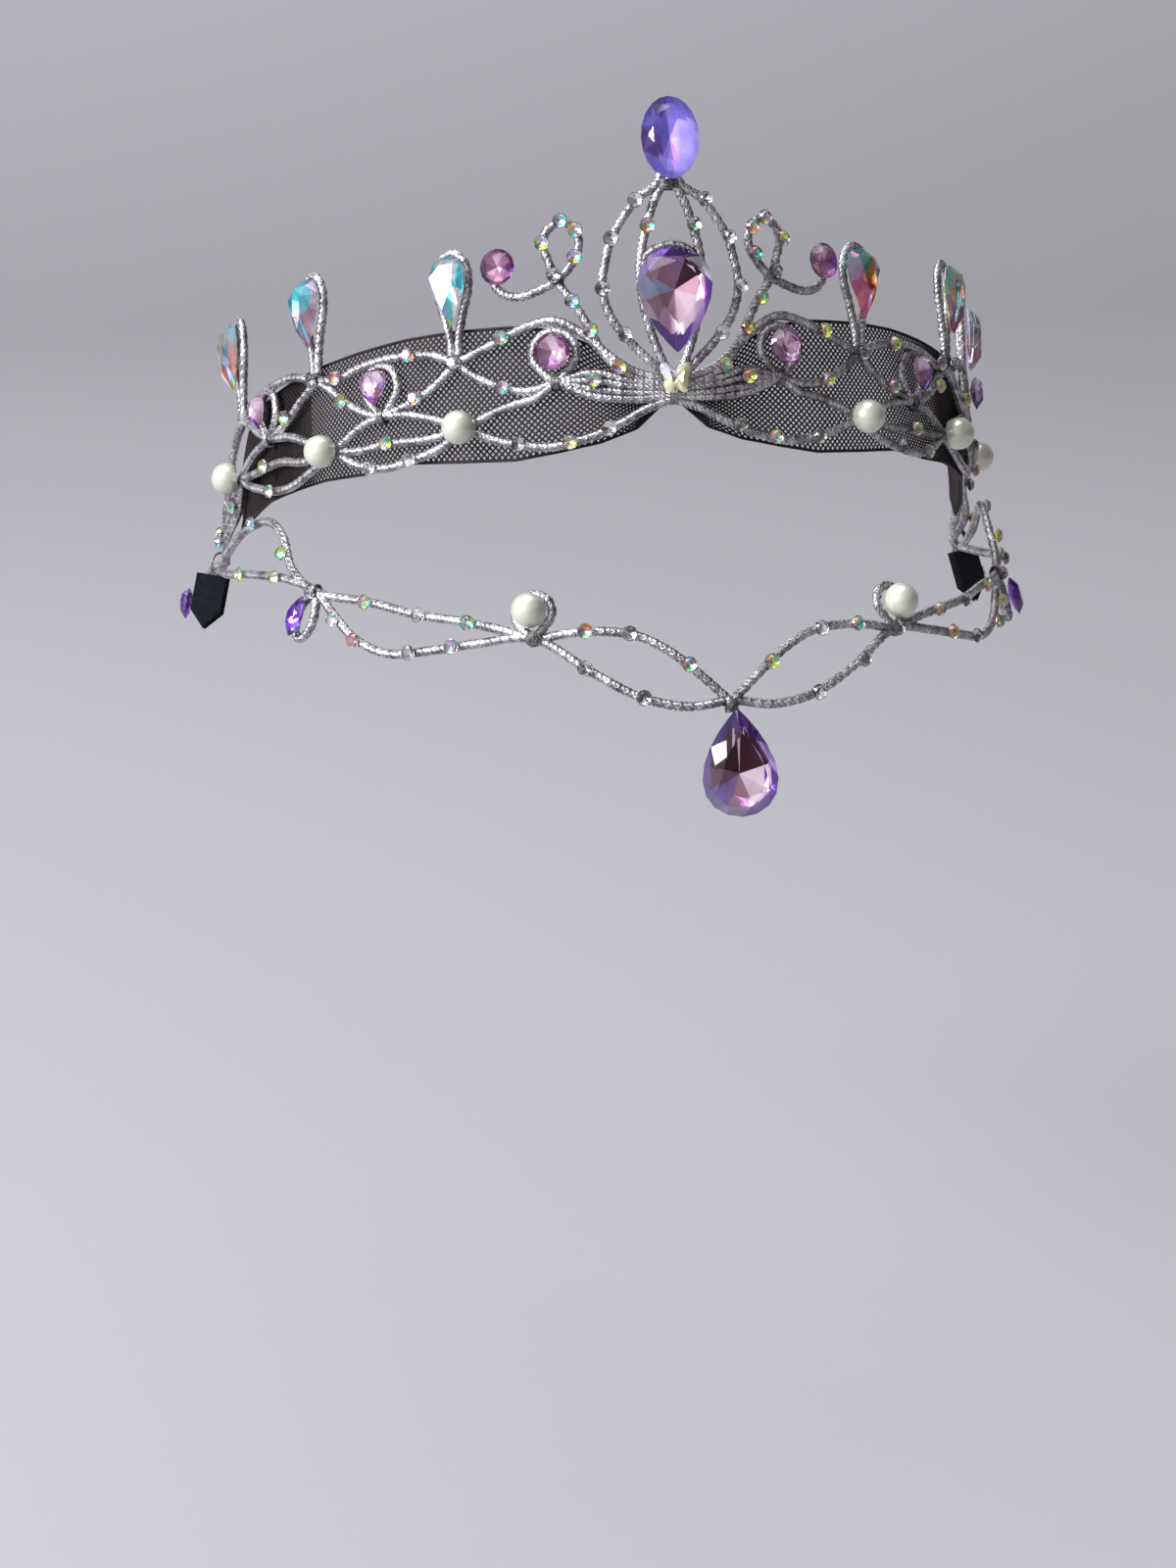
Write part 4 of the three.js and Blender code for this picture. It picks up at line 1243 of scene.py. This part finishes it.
class TIARA_OT_hair_tabs(bpy.types.Operator):
    """Woven black tabs at both ends of the band, folded to a point"""
    bl_idname = "tiara.hair_tabs"
    bl_label = "Hair tabs"

    def execute(self, context):
        for hand, side in SIDES.items():
            matrix = wall_frame(side * TAB["angle"], TAB["top"], TAB["out"])
            turn = math.radians(-side * TAB["turned"])
            matrix[:3, 0], matrix[:3, 2] = (
                matrix[:3, 0] * math.cos(turn) - matrix[:3, 2] * math.sin(turn),
                matrix[:3, 0] * math.sin(turn) + matrix[:3, 2] * math.cos(turn))
            half, straight, point = TAB["width"] / 2, TAB["straight"], TAB["point"]
            outline = np.array([(-half, 0), (-half, -straight), (0, -straight - point),
                                (half, -straight), (half, 0)])
            shell = Shell()
            middle = np.array([0, -straight / 2])
            for share, base, depth in TAB_LAYERS:
                ring = middle + (outline - middle) * share
                soft = middle + (ring - middle) * TAB_EDGE
                base -= TAB["thick"] / 2
                levels = [(soft, base), (ring, base + depth * 0.3), (ring, base + depth * 0.7),
                          (soft, base + depth)]
                points = [np.hstack([flat, np.full((5, 1), height)]) for flat, height in levels]
                start = shell.count
                shell.add(placed(np.vstack(points), matrix), ring_faces(4, 5))
                shell.close([(0, 2, 1), (0, 3, 2), (0, 4, 3)], start)
                shell.close([(15, 16, 17), (15, 17, 18), (15, 18, 19)], start)
            shell.stand_in(f"hair_tab_{hand}_woven", "hair_tab_" + hand, "elastic", "elastic",
                           rounded=False)
        return {"FINISHED"}


def rising(nodes, links, output, axis, low, high):
    """How far a place is between two values along an axis."""
    place = nodes.new("ShaderNodeTexCoord")
    parts = nodes.new("ShaderNodeSeparateXYZ")
    wire(links, (place, output, parts, "Vector"))
    made = nodes.new("ShaderNodeMapRange")
    finish(made, From_Min=low, From_Max=high)
    wire(links, (parts, axis, made, "Value"))
    return made.outputs[0]


def add_camera():
    camera = add_object("camera", bpy.data.cameras.new("camera"))
    forward = Vector(CAMERA_FORWARD).normalized()
    right = forward.cross(Vector(CAMERA_UP)).normalized()
    turned = Matrix((right, right.cross(forward), -forward)).transposed().to_4x4()
    camera.matrix_world = Matrix.Translation(CAMERA_PLACE) @ turned
    camera.data.sensor_width = SENSOR
    camera.data.lens = FOCAL_PIXELS / PICTURE_LONG_SIDE * SENSOR
    camera.data.clip_start = 0.01
    bpy.context.scene.camera = camera


def add_backdrop(floor, wall):
    """A floor that runs up into a wall in one curve."""
    bend = [(BEND_START + BEND * math.sin(t), BEND - BEND * math.cos(t))
            for t in np.linspace(0, math.pi / 2, 17)[1:]]
    profile = [(-60, 0), (-4, 0), (BEND_START, 0), *bend, (BEND_START + BEND, WALL_HEIGHT)]
    points = [(x, y, floor + z) for y, z in profile for x in (-30, 30)]
    faces = [(2 * i, 2 * i + 1, 2 * i + 3, 2 * i + 2) for i in range(len(profile) - 1)]
    data = bpy.data.meshes.new("backdrop")
    data.from_pydata(points, [], faces)
    data.polygons.foreach_set("use_smooth", [True] * len(faces))
    backdrop = add_object("backdrop", data)
    material, nodes, links, surface = shader("Pale paper")
    # The floor is painted darker than the wall, from 0.62 of its colour at the floor to full colour 0.6 m
    # up: painted shade that offsets the stronger light the floor gets.
    rise = rising(nodes, links, "Object", "Z", floor, floor + 1)
    tint(nodes, links, surface, rise, [(0, [c * 0.62 for c in wall]), (0.6, wall)])
    finish(surface, Roughness=0.9)
    data.materials.append(material)


def add_lamp(name, place, size, power):
    """A square lamp that faces the tiara."""
    lamp = add_object(name, bpy.data.lights.new(name, "AREA"))
    lamp.data.energy = power
    lamp.data.size = size
    lamp.data.color = (0.96, 0.98, 1)
    lamp.location = place
    lamp.rotation_mode = "QUATERNION"
    lamp.rotation_quaternion = (-Vector(place)).to_track_quat("-Z", "Y")


def add_room():
    """Light from all around, bright on the left and dark on the right."""
    world = bpy.data.worlds.new("room")
    bpy.context.scene.world = world
    world.use_nodes = True
    nodes, links = world.node_tree.nodes, world.node_tree.links
    across = rising(nodes, links, "Generated", "X", -1, 1)
    room = ramp(nodes, ROOM)
    links.new(across, room.inputs["Fac"])
    links.new(room.outputs["Color"], nodes["Background"].inputs["Color"])
    nodes["Background"].inputs["Strength"].default_value = 1.25


class TIARA_OT_stage(bpy.types.Operator):
    """Camera, soft light from the left, pale floor and wall"""
    bl_idname = "tiara.stage"
    bl_label = "Stage"

    def execute(self, context):
        settings = context.scene.tiara_stage
        add_camera()
        add_backdrop(CAD_LOW.z - settings.drop, tuple(settings.wall))
        add_lamp("window", (-1.4, -0.55, 0.85), 0.8, settings.window)
        add_lamp("sky", (-0.2, 0.2, 1.6), 1.2, settings.window * 0.3)
        add_room()
        context.scene.view_settings.view_transform = "Standard"
        return {"FINISHED"}


class TIARA_PT_pieces(bpy.types.Panel):
    bl_label = "Ballet tiara"
    bl_idname = "TIARA_PT_pieces"
    bl_space_type = "VIEW_3D"
    bl_region_type = "UI"
    bl_category = "Tiara"

    def draw(self, context):
        for settings in PROPERTIES:
            box = self.layout.box()
            for name in PROPERTIES[settings].__annotations__:
                box.prop(getattr(context.scene, settings), name)
        for operator in OPERATORS:
            self.layout.operator(operator.bl_idname)


PROPERTIES = {
    "tiara_cord": TiaraCord,
    "tiara_net": TiaraNet,
    "tiara_stones": TiaraStones,
    "tiara_stage": TiaraStage,
}
OPERATORS = (
    TIARA_OT_band_cords,
    TIARA_OT_centre_cords,
    TIARA_OT_strand_cords,
    TIARA_OT_net,
    TIARA_OT_drops,
    TIARA_OT_teardrops,
    TIARA_OT_amethysts,
    TIARA_OT_chatons,
    TIARA_OT_butterfly,
    TIARA_OT_pearls,
    TIARA_OT_hair_tabs,
    TIARA_OT_stage,
)


def register():
    for made in (*PROPERTIES.values(), *OPERATORS, TIARA_PT_pieces):
        bpy.utils.register_class(made)
    for name, settings in PROPERTIES.items():
        setattr(bpy.types.Scene, name, bpy.props.PointerProperty(type=settings))


def unregister():
    for name in PROPERTIES:
        delattr(bpy.types.Scene, name)
    for made in (TIARA_PT_pieces, *reversed(OPERATORS), *PROPERTIES.values()):
        bpy.utils.unregister_class(made)


def main():
    register()
    MATERIALS.update(make_materials(bpy.context.scene))
    for operator in OPERATORS:
        call = getattr(bpy.ops.tiara, operator.bl_idname.split(".")[1])
        call()


if __name__ == "__main__":
    main()
